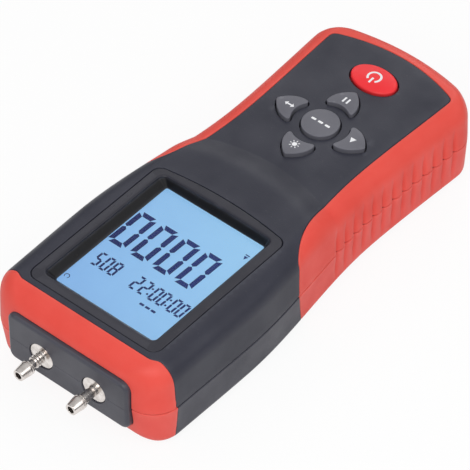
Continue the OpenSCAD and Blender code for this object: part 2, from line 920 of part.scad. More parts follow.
module contact_strips() {
    color("#d06a5a") placed() for (y = [-1, 1]) {
        translate([0, view_s + y * (view_l / 2 + glass_rim - strip_t), board_top_z]) {
            pill_block(view_w - 2 * strip_t, strip_t, glass_z - board_top_z, view_r);
        }
    }
}

module lcd_frame() {
    w = view_w + 2 * glass_rim + 2 * seat_gap;
    l = view_l + 2 * glass_rim + 2 * seat_gap;
    h = lens_z - board_top_z;
    color("#ececec") placed() difference() {
        translate([0, view_s, board_top_z]) pill_block(w + 2 * frame_t, l + 2 * frame_t, h, frame_t);
        translate([0, view_s, board_top_z - over]) pill_block(w, l, h + 2 * over, view_r);
    }
}

module key_power() {
    color("#ff4548") placed() key_body("power", 0);
}

module key_hub() {
    color("#77777f") placed() key_body("hub", 0);
}

module key_upper() {
    color("#77777f") placed() key_body("fan", 0);
}

module key_left() {
    color("#77777f") placed() key_body("fan", 90);
}

module key_lower() {
    color("#77777f") placed() key_body("fan", 180);
}

module key_right() {
    color("#77777f") placed() key_body("fan", 270);
}

module key_mat() {
    low = power_s - mat_margin;
    high = hub_s + fan_reach + mat_margin;
    color("#5a5a62") placed() difference() {
        translate([0, (low + high) / 2, board_top_z]) pill_block(mat_w, high - low, mat_t, post_r);
        at_all_pills() translate([0, 0, board_top_z - over]) {
            cylinder(r = pill_hole_r, h = mat_t + 2 * over, $fn = 32);
        }
    }
}

module board_plan() {
    neck_l = board_neck_s - board_tail_s;
    head_l = body_l - board_front_gap - board_neck_s;
    translate([-board_neck_w / 2, board_tail_s]) square([board_neck_w, neck_l + over]);
    translate([-board_head_w / 2, board_neck_s]) square([board_head_w, head_l]);
}

module main_board() {
    color("#2f7a3d") placed() difference() {
        translate([0, 0, board_z]) linear_extrude(board_t) board_plan();
        at_posts() translate([0, 0, board_z - over]) {
            cylinder(d = board_screw_d + 2 * seat_gap, h = board_t + 2 * over, $fn = 24);
        }
    }
}

module board_pads() {
    color("#d9b24c") placed() at_all_pills() {
        translate([0, 0, board_top_z]) cylinder(r = pill_r, h = pad_t, $fn = 32);
    }
}

module chip(x, s, w, l) {
    translate([x - w / 2, s - l / 2, board_z - chip_t]) cube([w, l, chip_t]);
}

module board_chips() {
    color("#26262a") placed() {
        chip(main_chip_x, body_l - main_chip_gap, wide_chip_w, wide_chip_w);
        chip(-amp_chip_x, body_l - amp_chip_gap, flat_chip_w, flat_chip_l);
        chip(flash_chip_x, body_l - flash_chip_gap, flat_chip_l, flat_chip_w);
        chip(0, power_chip_s, flat_chip_w, flat_chip_l);
    }
}

module board_screws() {
    color("#b8b8bc") placed() at_posts() {
        translate([0, 0, board_z - board_head_t]) cylinder(d = board_head_d, h = board_head_t, $fn = 32);
        translate([0, 0, board_z - layer_gap]) cylinder(d = board_screw_d, h = board_screw_l, $fn = 24);
    }
}

module buzzer() {
    color("#2b2b2f") placed() translate([-buzzer_x, buzzer_s, board_z - buzzer_h]) difference() {
        cylinder(r = buzzer_r, h = buzzer_h, $fn = 48);
        translate([0, 0, -over]) cylinder(r = buzzer_hole_r, h = buzzer_h / 2 + over, $fn = 24);
    }
}

module nipple(x) {
    translate([x, sensor_s + sensor_w / 2 - layer_gap, nipple_z]) rotate([-90, 0, 0]) {
        cylinder(r = nipple_r, h = nipple_l, $fn = 32);
    }
}

module pressure_sensor() {
    color("#e6e2d8") placed() {
        translate([-sensor_w / 2, sensor_s - sensor_w / 2, board_z - sensor_h]) {
            cube([sensor_w, sensor_w, sensor_h]);
        }
        for (x = [-1, 1]) nipple(x * nipple_x);
    }
}

// Middle line of one inner hose: straight off the barb's tail, over in an S, straight onto the nipple
function hose_point(side, t) = let (
    a = body_l - shank_back - layer_gap,
    b = sensor_s + sensor_w / 2 + layer_gap,
    e = ease((t - hose_start_share) / hose_bend_share),
    x = port_pitch / 2 + (nipple_x - port_pitch / 2) * e)
    [side * x, a + (b - a) * t, port_z + (nipple_z - port_z) * e];
function hose_ring(side, t, r) = [for (i = [0 : hose_sides - 1]) let (a = 360 * i / hose_sides)
    hose_point(side, t) + [r * cos(a), 0, r * sin(a)]];

// Skin over n rings of m points each, with both ends closed
module swept(points, m, n) {
    polyhedron(
        points = points,
        faces = concat(
            [for (k = [0 : n - 2], i = [0 : m - 1]) let (j = (i + 1) % m, a = k * m, b = a + m)
                each [[a + j, a + i, b + j], [b + j, a + i, b + i]]],
            [[for (i = [0 : m - 1]) i]],
            [[for (i = [m - 1 : -1 : 0]) (n - 1) * m + i]]),
        convexity = 4);
}

module hose(side, r, t_low, t_high) {
    n = hose_rings;
    step = (t_high - t_low) / (n - 1);
    swept([for (k = [0 : n - 1]) each hose_ring(side, t_low + step * k, r)], hose_sides, n);
}

module inner_tube(side) {
    root = body_l - shank_back;
    difference() {
        hose(side, hose_d / 2, 0, 1);
        hose(side, barb_bore_d / 2, -hose_run_over, 1 + hose_run_over);
        port_hole(side, root - tail_l - layer_gap, root + over, tail_d + 2 * hose_gap);
        translate([side * nipple_x, sensor_s + sensor_w / 2 - over, nipple_z]) rotate([-90, 0, 0]) {
            cylinder(r = nipple_r + hose_gap, h = nipple_l + over, $fn = 32);
        }
    }
}

module tube_left() {
    color("#dfe6e4") placed() inner_tube(-1);
}

module tube_right() {
    color("#dfe6e4") placed() inner_tube(1);
}

// Both terminals' axes, from station s towards the head
module at_terminals(s) {
    for (x = [-1, 1]) translate([x * terminal_x, s, cell_z + cell_t / 2]) rotate([-90, 0, 0]) children();
}

module battery() {
    color("#5f6b78") placed() {
        translate([-cell_w / 2, cell_s, cell_z]) cube([cell_w, cell_l, cell_t]);
        at_terminals(cell_s + cell_l - layer_gap) cylinder(r = terminal_r, h = terminal_l, $fn = 32);
    }
}

module battery_clip() {
    low = cell_s + cell_l + seat_gap;
    color("#1f1f22") placed() difference() {
        translate([-clip_w / 2, low, cell_z + (cell_t - clip_h) / 2]) {
            cube([clip_w, clip_t + terminal_l / 2, clip_h]);
        }
        at_terminals(low - over) cylinder(r = terminal_r + hose_gap, h = terminal_l + over, $fn = 32);
    }
}

// Leads from the clip up to the board, as chosen points
lead_rise = board_z - cell_z - cell_t / 2;
lead_run_shares = [0, 0.16, 0.34, 0.52, 0.7, 0.86, 0.97, 1, 1];
lead_rise_shares = [0, 0, 0.02, 0.09, 0.24, 0.46, 0.7, 0.88, 1];

module battery_leads() {
    start = cell_s + cell_l + seat_gap + clip_t + terminal_l / 2;
    low = cell_z + cell_t / 2;
    run = lead_rise;
    n = len(lead_run_shares);
    m = lead_sides;
    r = lead_d / 2;
    color("#b02020") placed() for (side = [-1, 1]) {
        path = [for (k = [0 : n - 1])
            [side * lead_x, start + run * lead_run_shares[k], low + lead_rise * lead_rise_shares[k]]];
        turn = [for (k = [0 : n - 1]) let (
            p = path[max(0, k - 1)],
            q = path[min(n - 1, k + 1)])
            k == 0 ? 0 : k == n - 1 ? 90 : atan2(q[2] - p[2], q[1] - p[1])];
        points = [for (k = [0 : n - 1], i = [0 : m - 1]) let (a = 360 * i / m)
            path[k] + r * [cos(a), -sin(a) * sin(turn[k]), sin(a) * cos(turn[k])]];
        swept(points, m, n);
    }
}

module battery_door() {
    color("#45454e") placed() difference() {
        union() {
            translate([0, door_s + door_l / 2, foot_h]) pill_block(door_w, door_l, door_t, door_r);
            translate([0, door_screw_s, foot_h]) {
                cylinder(r = door_pad_r, h = door_t + door_pad_t, $fn = 40);
            }
        }
        translate([0, door_screw_s, 0]) {
            cylinder(d = sink_d, h = foot_h + screw_head_t, $fn = 32);
            cylinder(d = screw_hole_d, h = door_boss_z, $fn = 32);
        }
    }
}

// Pan-head screw that points up, with a cross recess under its head
module pan_screw(seat_z, length) {
    difference() {
        union() {
            translate([0, 0, seat_z - screw_head_t]) cylinder(d = screw_head_d, h = screw_head_t, $fn = 32);
            translate([0, 0, seat_z - layer_gap]) cylinder(d = screw_d, h = length, $fn = 32);
        }
        for (a = [0, 90]) rotate(a) translate([0, 0, seat_z - screw_head_t]) {
            cube(screw_head_d * [recess_share, recess_slot_share, recess_share], center = true);
        }
    }
}

module door_screw() {
    color("#b8b8bc") placed() translate([0, door_screw_s, 0]) {
        pan_screw(foot_h + screw_head_t, door_boss_z / 2);
    }
}

module case_screws() {
    color("#b8b8bc") placed() at_case_bosses() pan_screw(screw_seat_z, screw_l);
}

module feet() {
    color("#202024") placed() at_feet() cylinder(r = foot_r, h = foot_t, $fn = 40);
}

top_case();
bottom_case();
grip_top();
grip_bottom();
cap_top();
cap_bottom();
port_block();
barb_left();
barb_right();
barb_nuts();
barb_seals();
bezel();
window();
lcd_cell();
backlight();
lcd_frame();
contact_strips();
key_power();
key_hub();
key_left();
key_right();
key_upper();
key_lower();
key_mat();
main_board();
board_pads();
board_chips();
board_screws();
buzzer();
pressure_sensor();
tube_left();
tube_right();
battery();
battery_clip();
battery_leads();
battery_door();
door_screw();
case_screws();
feet();
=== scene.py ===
"""Hand-held digital manometer: waisted black case, red grips, lit display and two hose barbs."""

import logging
import math
from dataclasses import dataclass, field
from enum import Enum
from typing import Optional, Sequence

import bpy
import numpy as np
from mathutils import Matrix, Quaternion, Vector
from mathutils.geometry import delaunay_2d_cdt
from mathutils.kdtree import KDTree


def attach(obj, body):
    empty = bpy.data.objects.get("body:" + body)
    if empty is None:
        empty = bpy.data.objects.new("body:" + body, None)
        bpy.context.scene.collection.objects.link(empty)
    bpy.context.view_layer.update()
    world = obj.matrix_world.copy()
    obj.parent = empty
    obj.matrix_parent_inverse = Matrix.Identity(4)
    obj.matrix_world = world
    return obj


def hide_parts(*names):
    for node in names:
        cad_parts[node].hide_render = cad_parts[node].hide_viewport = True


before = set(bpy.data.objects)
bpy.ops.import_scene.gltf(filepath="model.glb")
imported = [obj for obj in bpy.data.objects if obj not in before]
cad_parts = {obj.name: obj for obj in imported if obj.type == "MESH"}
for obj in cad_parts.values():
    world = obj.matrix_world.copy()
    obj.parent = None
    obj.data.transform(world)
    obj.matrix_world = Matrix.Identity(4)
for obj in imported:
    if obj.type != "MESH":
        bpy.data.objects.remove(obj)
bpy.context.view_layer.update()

MM = 0.001
# Stations of the bounding box's middle and of the window's middle
MID_S = 104.55
WINDOW_S = 146.2
LOG = logging.getLogger("manometer")
Array = np.ndarray
Pair = tuple[float, float]
Socket = bpy.types.NodeSocket


def ease(t: Array) -> Array:
    """Smooth step from 0 to 1."""
    c = np.clip(t, 0.0, 1.0)
    return c * c * (3.0 - 2.0 * c)


def round_drop(radius: float, t: Array) -> Array:
    """How far a rounded end of that radius has drawn in at distance t from its tip."""
    drop = radius - np.sqrt(np.maximum(0.0, radius * radius - (radius - t) ** 2))
    return np.where(t >= radius, 0.0, drop)


def unit(vectors: Array) -> Array:
    """Vectors brought to length one."""
    return vectors / np.maximum(np.linalg.norm(vectors, axis=-1, keepdims=True), 1e-12)


@dataclass(frozen=True)
class CaseShape:
    """Sizes of the closed case in millimetres, as in the solids; s runs from the handle's end."""

    body_l: float = 196.0
    head_w: float = 84.2
    waist_w: float = 70.6
    tail_w: float = 75.2
    front_w: float = 82.6
    plateau_z: float = 39.6
    panel_z: float = 37.2
    part_z: float = 18.9
    seam: float = 0.4
    shoulder_r: float = 8.0
    belly_r: float = 4.1
    waist_s: float = 66.0
    head_s: float = 144.0
    ramp_s: float = 82.0
    ramp_bow: float = 9.0
    ramp_l: float = 12.5
    ramp_flat: float = 0.5
    crease: float = 0.35
    side_draft: float = 0.5
    belly_draft: float = 0.9
    tail_corner_r: float = 9.9
    tail_edge_r: float = 5.6
    front_corner_r: float = 12.0
    front_edge_r: float = 9.5
    front_belly_r: float = 6.0
    front_rake: float = 2.0
    front_rake_l: float = 26.0
    tail_bow: float = 6.8
    tail_bow_l: float = 32.0
    tail_more: float = 1.1
    tail_more_l: float = 44.0
    foot_h: float = 0.8
    mid_s: float = MID_S

    def half_w(self, s: Array) -> Array:
        """Half the case's width at a station."""
        low = self.waist_w / 2
        head = (self.head_w - self.waist_w) / 2 * ease((s - self.waist_s) / (self.head_s - self.waist_s))
        tail = (self.tail_w - self.waist_w) / 2 * ease((self.waist_s - s) / self.waist_s)
        front = (self.head_w - self.front_w) / 2 * ease((s - self.head_s) / (self.body_l - self.head_s))
        return low + head + tail - front

    def section_w(self, s: Array) -> Array:
        """Half the width of the section at a station, with the rounded corners of the plan."""
        return (
            self.half_w(s)
            - round_drop(self.tail_corner_r, s)
            - round_drop(self.front_corner_r, self.body_l - s)
        )

    def ramp_run(self, x: Array, s: Array) -> Array:
        """Distance past the crease at the foot of the face's ramp."""
        u = x / self.half_w(s)
        return s - self.ramp_s - self.ramp_bow * u * u

    def deck_z(self, x: Array, s: Array) -> Array:
        """Height of the face before its ends are rounded."""
        run = self.ramp_run(x, s)
        t = np.clip((run + np.hypot(run, self.crease)) / 2.0 / self.ramp_l, 0.0, 1.0)
        straight = 2.0 * t / (1.0 + self.ramp_flat)
        rounded = 1.0 - (1.0 - t) ** 2 / (1.0 - self.ramp_flat**2)
        return self.panel_z + (self.plateau_z - self.panel_z) * np.where(t < self.ramp_flat, straight, rounded)

    def bow(self, x: Array, s: Array) -> Array:
        """How far the handle's bowed end moves a point towards the head."""
        bowed = self.tail_bow * (2.0 * x / self.tail_w) ** 2 * (1.0 - ease(s / self.tail_bow_l))
        return bowed - self.tail_more * (1.0 - ease(s / self.tail_more_l))

    def rake(self, s: Array, z: Array) -> Array:
        """How far the front leans back below the parting plane."""
        deep = np.maximum(self.part_z - z, 0.0) / self.part_z
        return self.front_rake * deep * ease((s - self.body_l + self.front_rake_l) / self.front_rake_l)

    def station(self, x: Array, y: Array, z: Array) -> Array:
        """Station of a point, with the bow and the rake undone."""
        raw = y + self.mid_s
        s = raw
        for _ in range(8):
            s = raw - self.bow(x, s)
        flat = s
        for _ in range(4):
            s = flat + self.rake(s, z)
        return s

    def top_drop(self, s: Array) -> Array:
        """How far the face has sunk at its rounded ends."""
        return round_drop(self.tail_edge_r, s) + round_drop(self.front_edge_r, self.body_l - s)

    def bottom_rise(self, s: Array) -> Array:
        """How far the back has risen at its rounded ends."""
        return round_drop(self.belly_r, s) + round_drop(self.front_belly_r, self.body_l - s)

    def inside_upper(self, x: Array, y: Array, z: Array) -> Array:
        """Whether points lie in the upper half's full form."""
        s = self.station(x, y, z)
        w = self.section_w(s)
        cx = w - self.side_draft - self.shoulder_r
        drop = self.top_drop(s)
        edge = self.deck_z(cx, s) - drop - self.shoulder_r
        ax = np.abs(x)
        wall = w - self.side_draft * np.clip((z - self.part_z) / (edge - self.part_z), 0.0, 1.0)
        corner = np.hypot(ax - cx, z - edge) <= self.shoulder_r
        face = np.where(ax <= cx, z <= self.deck_z(x, s) - drop, (z <= edge) | corner)
        return (s >= 0.0) & (s <= self.body_l) & (ax <= wall) & face

    def inside_lower(self, x: Array, y: Array, z: Array) -> Array:
        """Whether points lie in the lower half's full form."""
        s = self.station(x, y, z)
        w = self.section_w(s)
        cx = w - self.belly_draft - self.belly_r
        floor = self.foot_h + self.bottom_rise(s)
        edge = floor + self.belly_r
        ax = np.abs(x)
        wall = w - self.belly_draft * np.clip((self.part_z - z) / (self.part_z - edge), 0.0, 1.0)
        corner = np.hypot(ax - cx, edge - z) <= self.belly_r
        back = np.where(ax <= cx, z >= floor, (z >= edge) | corner)
        return (s >= 0.0) & (s <= self.body_l) & (ax <= wall) & back

    def outline(self, step: float) -> Array:
        """Plan outline at the parting plane, counter-clockwise from the handle's end.

        Args:
            step: Distance between its points.

        Returns:
            Rows of x and y.
        """
        turn = np.linspace(0.0, math.pi / 2, 60)
        tail = self.tail_corner_r * (1.0 - np.cos(turn))
        front = self.body_l - self.front_corner_r * (1.0 - np.cos(turn[::-1]))
        s = np.concatenate([tail, np.linspace(tail[-1], front[0], 400)[1:-1], front])
        x = self.section_w(s)
        lead = np.linspace(0.0, x[0], 40)[:-1]
        close = np.linspace(x[-1], 0.0, 40)[1:]
        xs = np.concatenate([lead, x, close])
        ss = np.concatenate([lead * 0.0, s, close * 0.0 + self.body_l])
        half = np.stack([xs, ss + self.bow(xs, ss) - self.mid_s], axis=1)
        mirrored = half[::-1][1:-1] * [-1.0, 1.0]
        return resampled(np.concatenate([half, mirrored]), step, True)


def resampled(points: Array, step: float, closed: bool) -> Array:
    """Points at an even distance along a polyline.

    Args:
        points: The polyline, one point a row.
        step: Wanted distance.
        closed: Whether the last point joins the first.

    Returns:
        The new points; an open line keeps both its ends.
    """
    line = np.concatenate([points, points[:1]]) if closed else points
    run = np.concatenate([[0.0], np.cumsum(np.linalg.norm(np.diff(line, axis=0), axis=1))])
    count = max(3, int(round(run[-1] / step)))
    at = np.linspace(0.0, run[-1], count + 1)
    at = at[:-1] if closed else at
    return np.stack([np.interp(at, run, line[:, i]) for i in range(line.shape[1])], axis=1)


def softened(points: Array, rounds: int) -> Array:
    """A closed line with its corners rounded by averaging neighbours."""
    for _ in range(rounds):
        points = (np.roll(points, 1, axis=0) + 2.0 * points + np.roll(points, -1, axis=0)) / 4.0
    return points


def left_of(points: Array) -> Array:
    """Unit normals to the left of a closed line."""
    ahead = unit(np.roll(points, -1, axis=0) - np.roll(points, 1, axis=0))
    return np.stack([-ahead[:, 1], ahead[:, 0]], axis=1)


def enclosed(points: Array, loops: Sequence[Array]) -> Array:
    """Even-odd test of plan points against closed loops.

    Args:
        points: Plan points.
        loops: Closed lines, outer ones and holes alike.

    Returns:
        True for each point inside.
    """
    inside = np.zeros(len(points), bool)
    for loop in loops:
        a, b = loop, np.roll(loop, -1, axis=0)
        for start in range(0, len(points), 2000):
            p = points[start : start + 2000]
            y = p[:, 1:2]
            cross = (a[None, :, 1] > y) != (b[None, :, 1] > y)
            rise = b[:, 1] - a[:, 1]
            rise = np.where(rise == 0.0, 1e-12, rise)
            at = a[None, :, 0] + (y - a[None, :, 1]) * ((b[:, 0] - a[:, 0]) / rise)[None, :]
            inside[start : start + 2000] ^= (np.sum(cross & (p[:, 0:1] < at), axis=1) % 2).astype(bool)
    return inside


class Half(Enum):
    """Which half of the case a skin belongs to."""

    UPPER = 1
    LOWER = -1


class Wall(Enum):
    """A wall of the case, by the number of the axis that runs along it."""

    FRONT = 0
    RIGHT = 1


@dataclass
class Facets:
    """Vertices, faces and corner normals of a mesh in the making."""

    points: list[Array] = field(default_factory=list)
    faces: list[list[int]] = field(default_factory=list)
    corners: list[Array] = field(default_factory=list)
    count: int = 0

    def add(self, points: Array) -> Array:
        """Adds vertices and returns their numbers."""
        numbers = np.arange(self.count, self.count + len(points))
        self.points.append(np.asarray(points, float))
        self.count += len(points)
        return numbers

    def face(self, rows: Array, normals: Array) -> None:
        """Adds faces, one a row, with a normal for each of their corners."""
        self.faces.extend(rows.tolist())
        self.corners.append(normals.reshape(-1, 3))

    def strip(self, a: Array, b: Array, normals_a: Array, normals_b: Array, flip: bool) -> None:
        """Joins two closed rings of as many vertices by four-sided faces.

        Args:
            a: Vertex numbers of the first ring.
            b: Vertex numbers of the second ring, to the left of the first.
            normals_a: Normals along the first ring.
            normals_b: Normals along the second ring.
            flip: Whether the faces turn the other way.
        """
        rows = np.stack([a, np.roll(a, -1), np.roll(b, -1), b], axis=1)
        normals = np.stack(
            [normals_a, np.roll(normals_a, -1, axis=0), np.roll(normals_b, -1, axis=0), normals_b], axis=1
        )
        if flip:
            rows, normals = rows[:, ::-1], normals[:, ::-1]
        self.face(rows, normals)

    def build(self, name: str) -> bpy.types.Object:
        """Makes the Blender object, in metres.

        Args:
            name: The piece's name.

        Returns:
            The new object with its own corner normals.
        """
        mesh = bpy.data.meshes.new(name)
        mesh.from_pydata((np.concatenate(self.points) * MM).tolist(), [], self.faces)
        mesh.polygons.foreach_set("use_smooth", np.ones(len(mesh.polygons), bool))
        mesh.normals_split_custom_set(np.concatenate(self.corners).tolist())
        mesh.update()
        obj = bpy.data.objects.new(name, mesh)
        bpy.context.scene.collection.objects.link(obj)
        return obj


@dataclass
class Skin:
    """Outer surface of one half of the case, laid out flat as a net.

    Inside the spine a net point lies straight above or below its surface point. Outside it, the
    distance from the spine first turns round the shoulder and then runs down the wall.
    """

    shape: CaseShape
    half: Half
    rho: float
    step: float = 0.1
    coarse: int = 16
    flute_n: int = 13
    flute_s: float = 18.6
    flute_pitch: float = 5.8
    flute_t: float = 1.3
    flute_soft: float = 0.22
    flute_top_z: float = 22.5
    flute_top_l: float = 10.5
    flute_low_z: float = 12.5
    flute_low_l: float = 9.5

    def __post_init__(self) -> None:
        """Lays the spine inside the outline."""
        self.rim = self.shape.outline(self.step)
        self.out = -left_of(self.rim)
        self.spine = self.rim - self.rho * self.out
        ahead = np.roll(self.spine, -1, axis=0) - self.spine
        along = np.roll(self.rim, -1, axis=0) - self.rim
        keep = np.sum(ahead * along, axis=1) > 0.0
        LOG.info("%s spine keeps %d of %d points", self.half.name, keep.sum(), len(keep))
        self.rim, self.out, self.spine = self.rim[keep], self.out[keep], self.spine[keep]
        self.sign = float(self.half.value)
        self.turn = self.rho * math.pi / 2

    def foot(self, net: Array) -> tuple[Array, Array, Array]:
        """Finds the nearest spine point of each net point.

        Args:
            net: Plan positions in the net.

        Returns:
            The spine points, the ways out, and the distances outside, negative within the spine.
        """
        near = np.empty(len(net), int)
        knots = self.spine[:: self.coarse]
        for start in range(0, len(net), 4000):
            gap = net[start : start + 4000, None, :] - knots[None]
            near[start : start + 4000] = np.argmin(np.einsum("ijk,ijk->ij", gap, gap), axis=1)
        span = np.arange(-self.coarse, self.coarse + 1)
        window = (near[:, None] * self.coarse + span[None]) % len(self.spine)
        after = (window + 1) % len(self.spine)
        a, b = self.spine[window], self.spine[after]
        ab = b - a
        t = np.clip(np.sum((net[:, None] - a) * ab, axis=2) / np.sum(ab * ab, axis=2), 0.0, 1.0)
        q = a + t[..., None] * ab
        best = np.argmin(np.sum((net[:, None] - q) ** 2, axis=2), axis=1)
        rows = np.arange(len(net))
        at, share = q[rows, best], t[rows, best][:, None]
        way = unit(self.out[window[rows, best]] * (1 - share) + self.out[after[rows, best]] * share)
        gap = net - at
        far = np.linalg.norm(gap, axis=1)
        outside = np.sum(gap * way, axis=1) > 0.0
        clear = outside & (far > 1e-3)
        way = np.where(clear[:, None], gap / np.maximum(far, 1e-9)[:, None], way)
        return at, way, np.where(outside, far, -far)

    def crown(self, at: Array) -> Array:
        """Height of the turning centre over plan points on the spine."""
        x, y = at[:, 0], at[:, 1]
        if self.half is Half.UPPER:
            s = self.shape.station(x, y, np.full(len(x), self.shape.part_z))
            return self.shape.deck_z(x, s) - self.shape.top_drop(s) - self.rho
        s = self.shape.station(x, y, np.zeros(len(x)))
        return self.shape.foot_h + self.shape.bottom_rise(s) + self.rho

    def reach(self, start: Array, way: Array) -> Array:
        """Length of each ray from inside the case to its surface, by bisection.

        Args:
            start: Where the rays start.
            way: Their directions.

        Returns:
            One length a ray.
        """
        inside = self.shape.inside_upper if self.half is Half.UPPER else self.shape.inside_lower
        low, high = np.zeros(len(start)), np.full(len(start), 18.0)
        for _ in range(26):
            mid = (low + high) / 2
            p = start + way * mid[:, None]
            held = inside(p[:, 0], p[:, 1], p[:, 2])
            low, high = np.where(held, mid, low), np.where(held, high, mid)
        return low

    def lift(self, net: Array, fluted: bool = False) -> Array:
        """Surface points of net points.

        Args:
            net: Plan positions in the net.
            fluted: Whether the handle's flutes are cut.

        Returns:
            Rows of x, y and z.
        """
        at, way, far = self.foot(net)
        crown = self.crown(at)
        angle = np.clip(far / self.rho, 0.0, math.pi / 2)
        level = crown - self.sign * np.maximum(far - self.turn, 0.0)
        out = np.concatenate([way * np.sin(angle)[:, None], self.sign * np.cos(angle)[:, None]], axis=1)
        flat = far <= 0.0
        plan = np.where(flat[:, None], net, at)
        middle = np.where(flat, 0.0, level)
        if flat.any():
            inner = net[flat]
            middle[flat] = self.crown(inner)
            out[flat] = [0.0, 0.0, self.sign]
        start = np.concatenate([plan, middle[:, None]], axis=1)
        length = np.full(len(net), self.rho)
        near = far > -3.0
        if near.any():
            length[near] = self.reach(start[near], out[near])
        found = start + out * length[:, None]
        if fluted:
            found = found - out * self.flute(found, out)[:, None]
        return found

    def flute(self, found: Array, out: Array) -> Array:
        """Depth of the grooves between the handle's ribs.

        Args:
            found: Surface points.
            out: Their outward ways.

        Returns:
            One depth a point.
        """
        s = found[:, 1] + self.shape.mid_s - self.flute_s
        number = np.clip(np.round(s / self.flute_pitch), 0, self.flute_n - 1)
        across = np.hypot(s - number * self.flute_pitch, self.flute_soft)
        if self.half is Half.UPPER:
            fade = 1.0 - ease((found[:, 2] - self.flute_top_z) / self.flute_top_l)
        else:
            fade = 1.0 - ease((self.flute_low_z - found[:, 2]) / self.flute_low_l)
        near = np.clip(1.0 - across / (self.flute_pitch / 2.0), 0.0, 1.0)
        return self.flute_t * fade * near**3 * np.clip(np.abs(out[:, 0]) * 4.0 - 3.0, 0.0, 1.0)

    def ribbed(self) -> tuple[Array, Array]:
        """Picks the spine points along the ribs.

        Returns:
            Which spine points carry ribs, and the numbers of those that follow the ribs' sections.
        """
        s = self.rim[:, 1] + self.shape.mid_s - self.flute_s
        margin = self.flute_pitch * 0.55
        sides = np.abs(self.out[:, 0]) > 0.8
        zone = sides & (s > -margin) & (s < self.flute_pitch * (self.flute_n - 1) + margin)
        steps = np.array([-2.9, -2.2, -1.5, -0.9, -0.4, 0.0, 0.4, 0.9, 1.5, 2.2])
        wanted = (self.flute_pitch * np.arange(self.flute_n)[:, None] + steps).ravel()
        wanted = np.append(wanted, wanted[-1] + 0.7)
        picks = []
        for side in (1.0, -1.0):
            index = np.nonzero(zone & (self.out[:, 0] * side > 0.0))[0]
            picks.append(index[np.argmin(np.abs(s[index][None] - wanted[:, None]), axis=1)])
        return zone, np.unique(np.concatenate(picks))

    def normals(self, net: Array, fluted: bool = False) -> Array:
        """Outward normals of the surface at net points."""
        d = 0.06
        du = self.lift(net + [d, 0.0], fluted) - self.lift(net - [d, 0.0], fluted)
        dv = self.lift(net + [0.0, d], fluted) - self.lift(net - [0.0, d], fluted)
        return unit(np.cross(du, dv) * self.sign)

    def level_line(self, z: float) -> Array:
        """Net points of the whole wall at one height, in the spine's order."""
        far = self.turn + self.sign * (self.crown(self.spine) - z)
        return self.spine + self.out * far[:, None]

    def on_wall(self, wall: Wall, target: Array, z: Array) -> Array:
        """Net points whose surface points have the wanted place along a wall.

        Args:
            wall: The wall.
            target: The surface's y on a side wall, or its x on the front wall.
            z: The surface's height.

        Returns:
            Net points, one a row.
        """
        axis = wall.value
        picks = np.nonzero(self.out[:, 1 - axis] > 0.6)[0]
        order = picks[np.argsort(self.spine[picks, axis])]
        along = self.spine[order, axis]
        target, z = np.broadcast_arrays(np.asarray(target, float), np.asarray(z, float))
        wanted = target.copy()
        net, extra = np.zeros((len(target), 2)), np.zeros(len(target))
        for _ in range(16):
            at = np.stack([np.interp(wanted, along, self.spine[order, i]) for i in (0, 1)], axis=1)
            way = unit(np.stack([np.interp(wanted, along, self.out[order, i]) for i in (0, 1)], axis=1))
            far = self.turn + self.sign * (self.crown(at) - z)
            net = at + way * (far + extra)[:, None]
            found = self.lift(net)
            wanted = wanted + (target - found[:, axis]) * 0.45
            extra = extra + self.sign * (found[:, 2] - z) * 0.7
        return net

    def on_plan(self, plan: Array) -> Array:
        """Net points whose surface points lie at plan positions on the face or the shoulder."""
        at, way, far = self.foot(plan)
        low, high = np.zeros(len(plan)), np.full(len(plan), self.turn)
        for _ in range(24):
            mid = (low + high) / 2
            found = self.lift(at + way * mid[:, None])[:, :2]
            short = np.sum((found - at) * way, axis=1) < far
            low, high = np.where(short, mid, low), np.where(short, high, mid)
        return np.where((far <= 0.0)[:, None], plan, at + way * low[:, None])

    def lattice(self, fine: bool, spacing: float) -> Array:
        """Net points that fill the whole surface, closer along the ribs and the ramp's crease."""
        shape = self.shape
        ys = np.arange(-shape.mid_s, shape.body_l - shape.mid_s, spacing * 0.87)
        xs = np.arange(-shape.head_w / 2, shape.head_w / 2, spacing)
        grid = np.concatenate(
            [np.stack([xs + (i % 2) * spacing / 2, np.full(len(xs), y)], axis=1) for i, y in enumerate(ys)]
        )
        if self.half is Half.UPPER and spacing < 3.0:
            run = shape.ramp_run(grid[:, 0], grid[:, 1] + shape.mid_s)
            grid = grid[np.abs(run - 0.1) > 1.9]
            x = np.arange(-34.0, 34.0, 0.8)
            for step in (-1.4, -0.8, -0.4, 0.0, 0.4, 0.8, 1.5):
                s = np.full(len(x), shape.ramp_s)
                for _ in range(6):
                    s = s + step - shape.ramp_run(x, s)
                grid = np.concatenate([grid, np.stack([x, s - shape.mid_s], axis=1)])
        grid = grid[self.foot(grid)[2] < -0.4 * min(spacing, 2.0)]
        rings = [grid]
        deepest = self.turn + abs(shape.plateau_z - self.rho - shape.part_z) + 3.0
        stride = max(1, int(round(min(spacing, 1.5) / self.step)))
        zone, ribs = self.ribbed()
        for k, far in enumerate(np.arange(0.0, deepest, 1.25 if spacing < 3.0 else 2.4)):
            index = np.arange((k % 2) * stride // 2, len(self.spine), stride)
            if fine and far > self.turn * 0.6:
                index = np.concatenate([index[~zone[index]], ribs])
            rings.append(self.spine[index] + self.out[index] * (far + 0.02))
        return np.concatenate(rings)

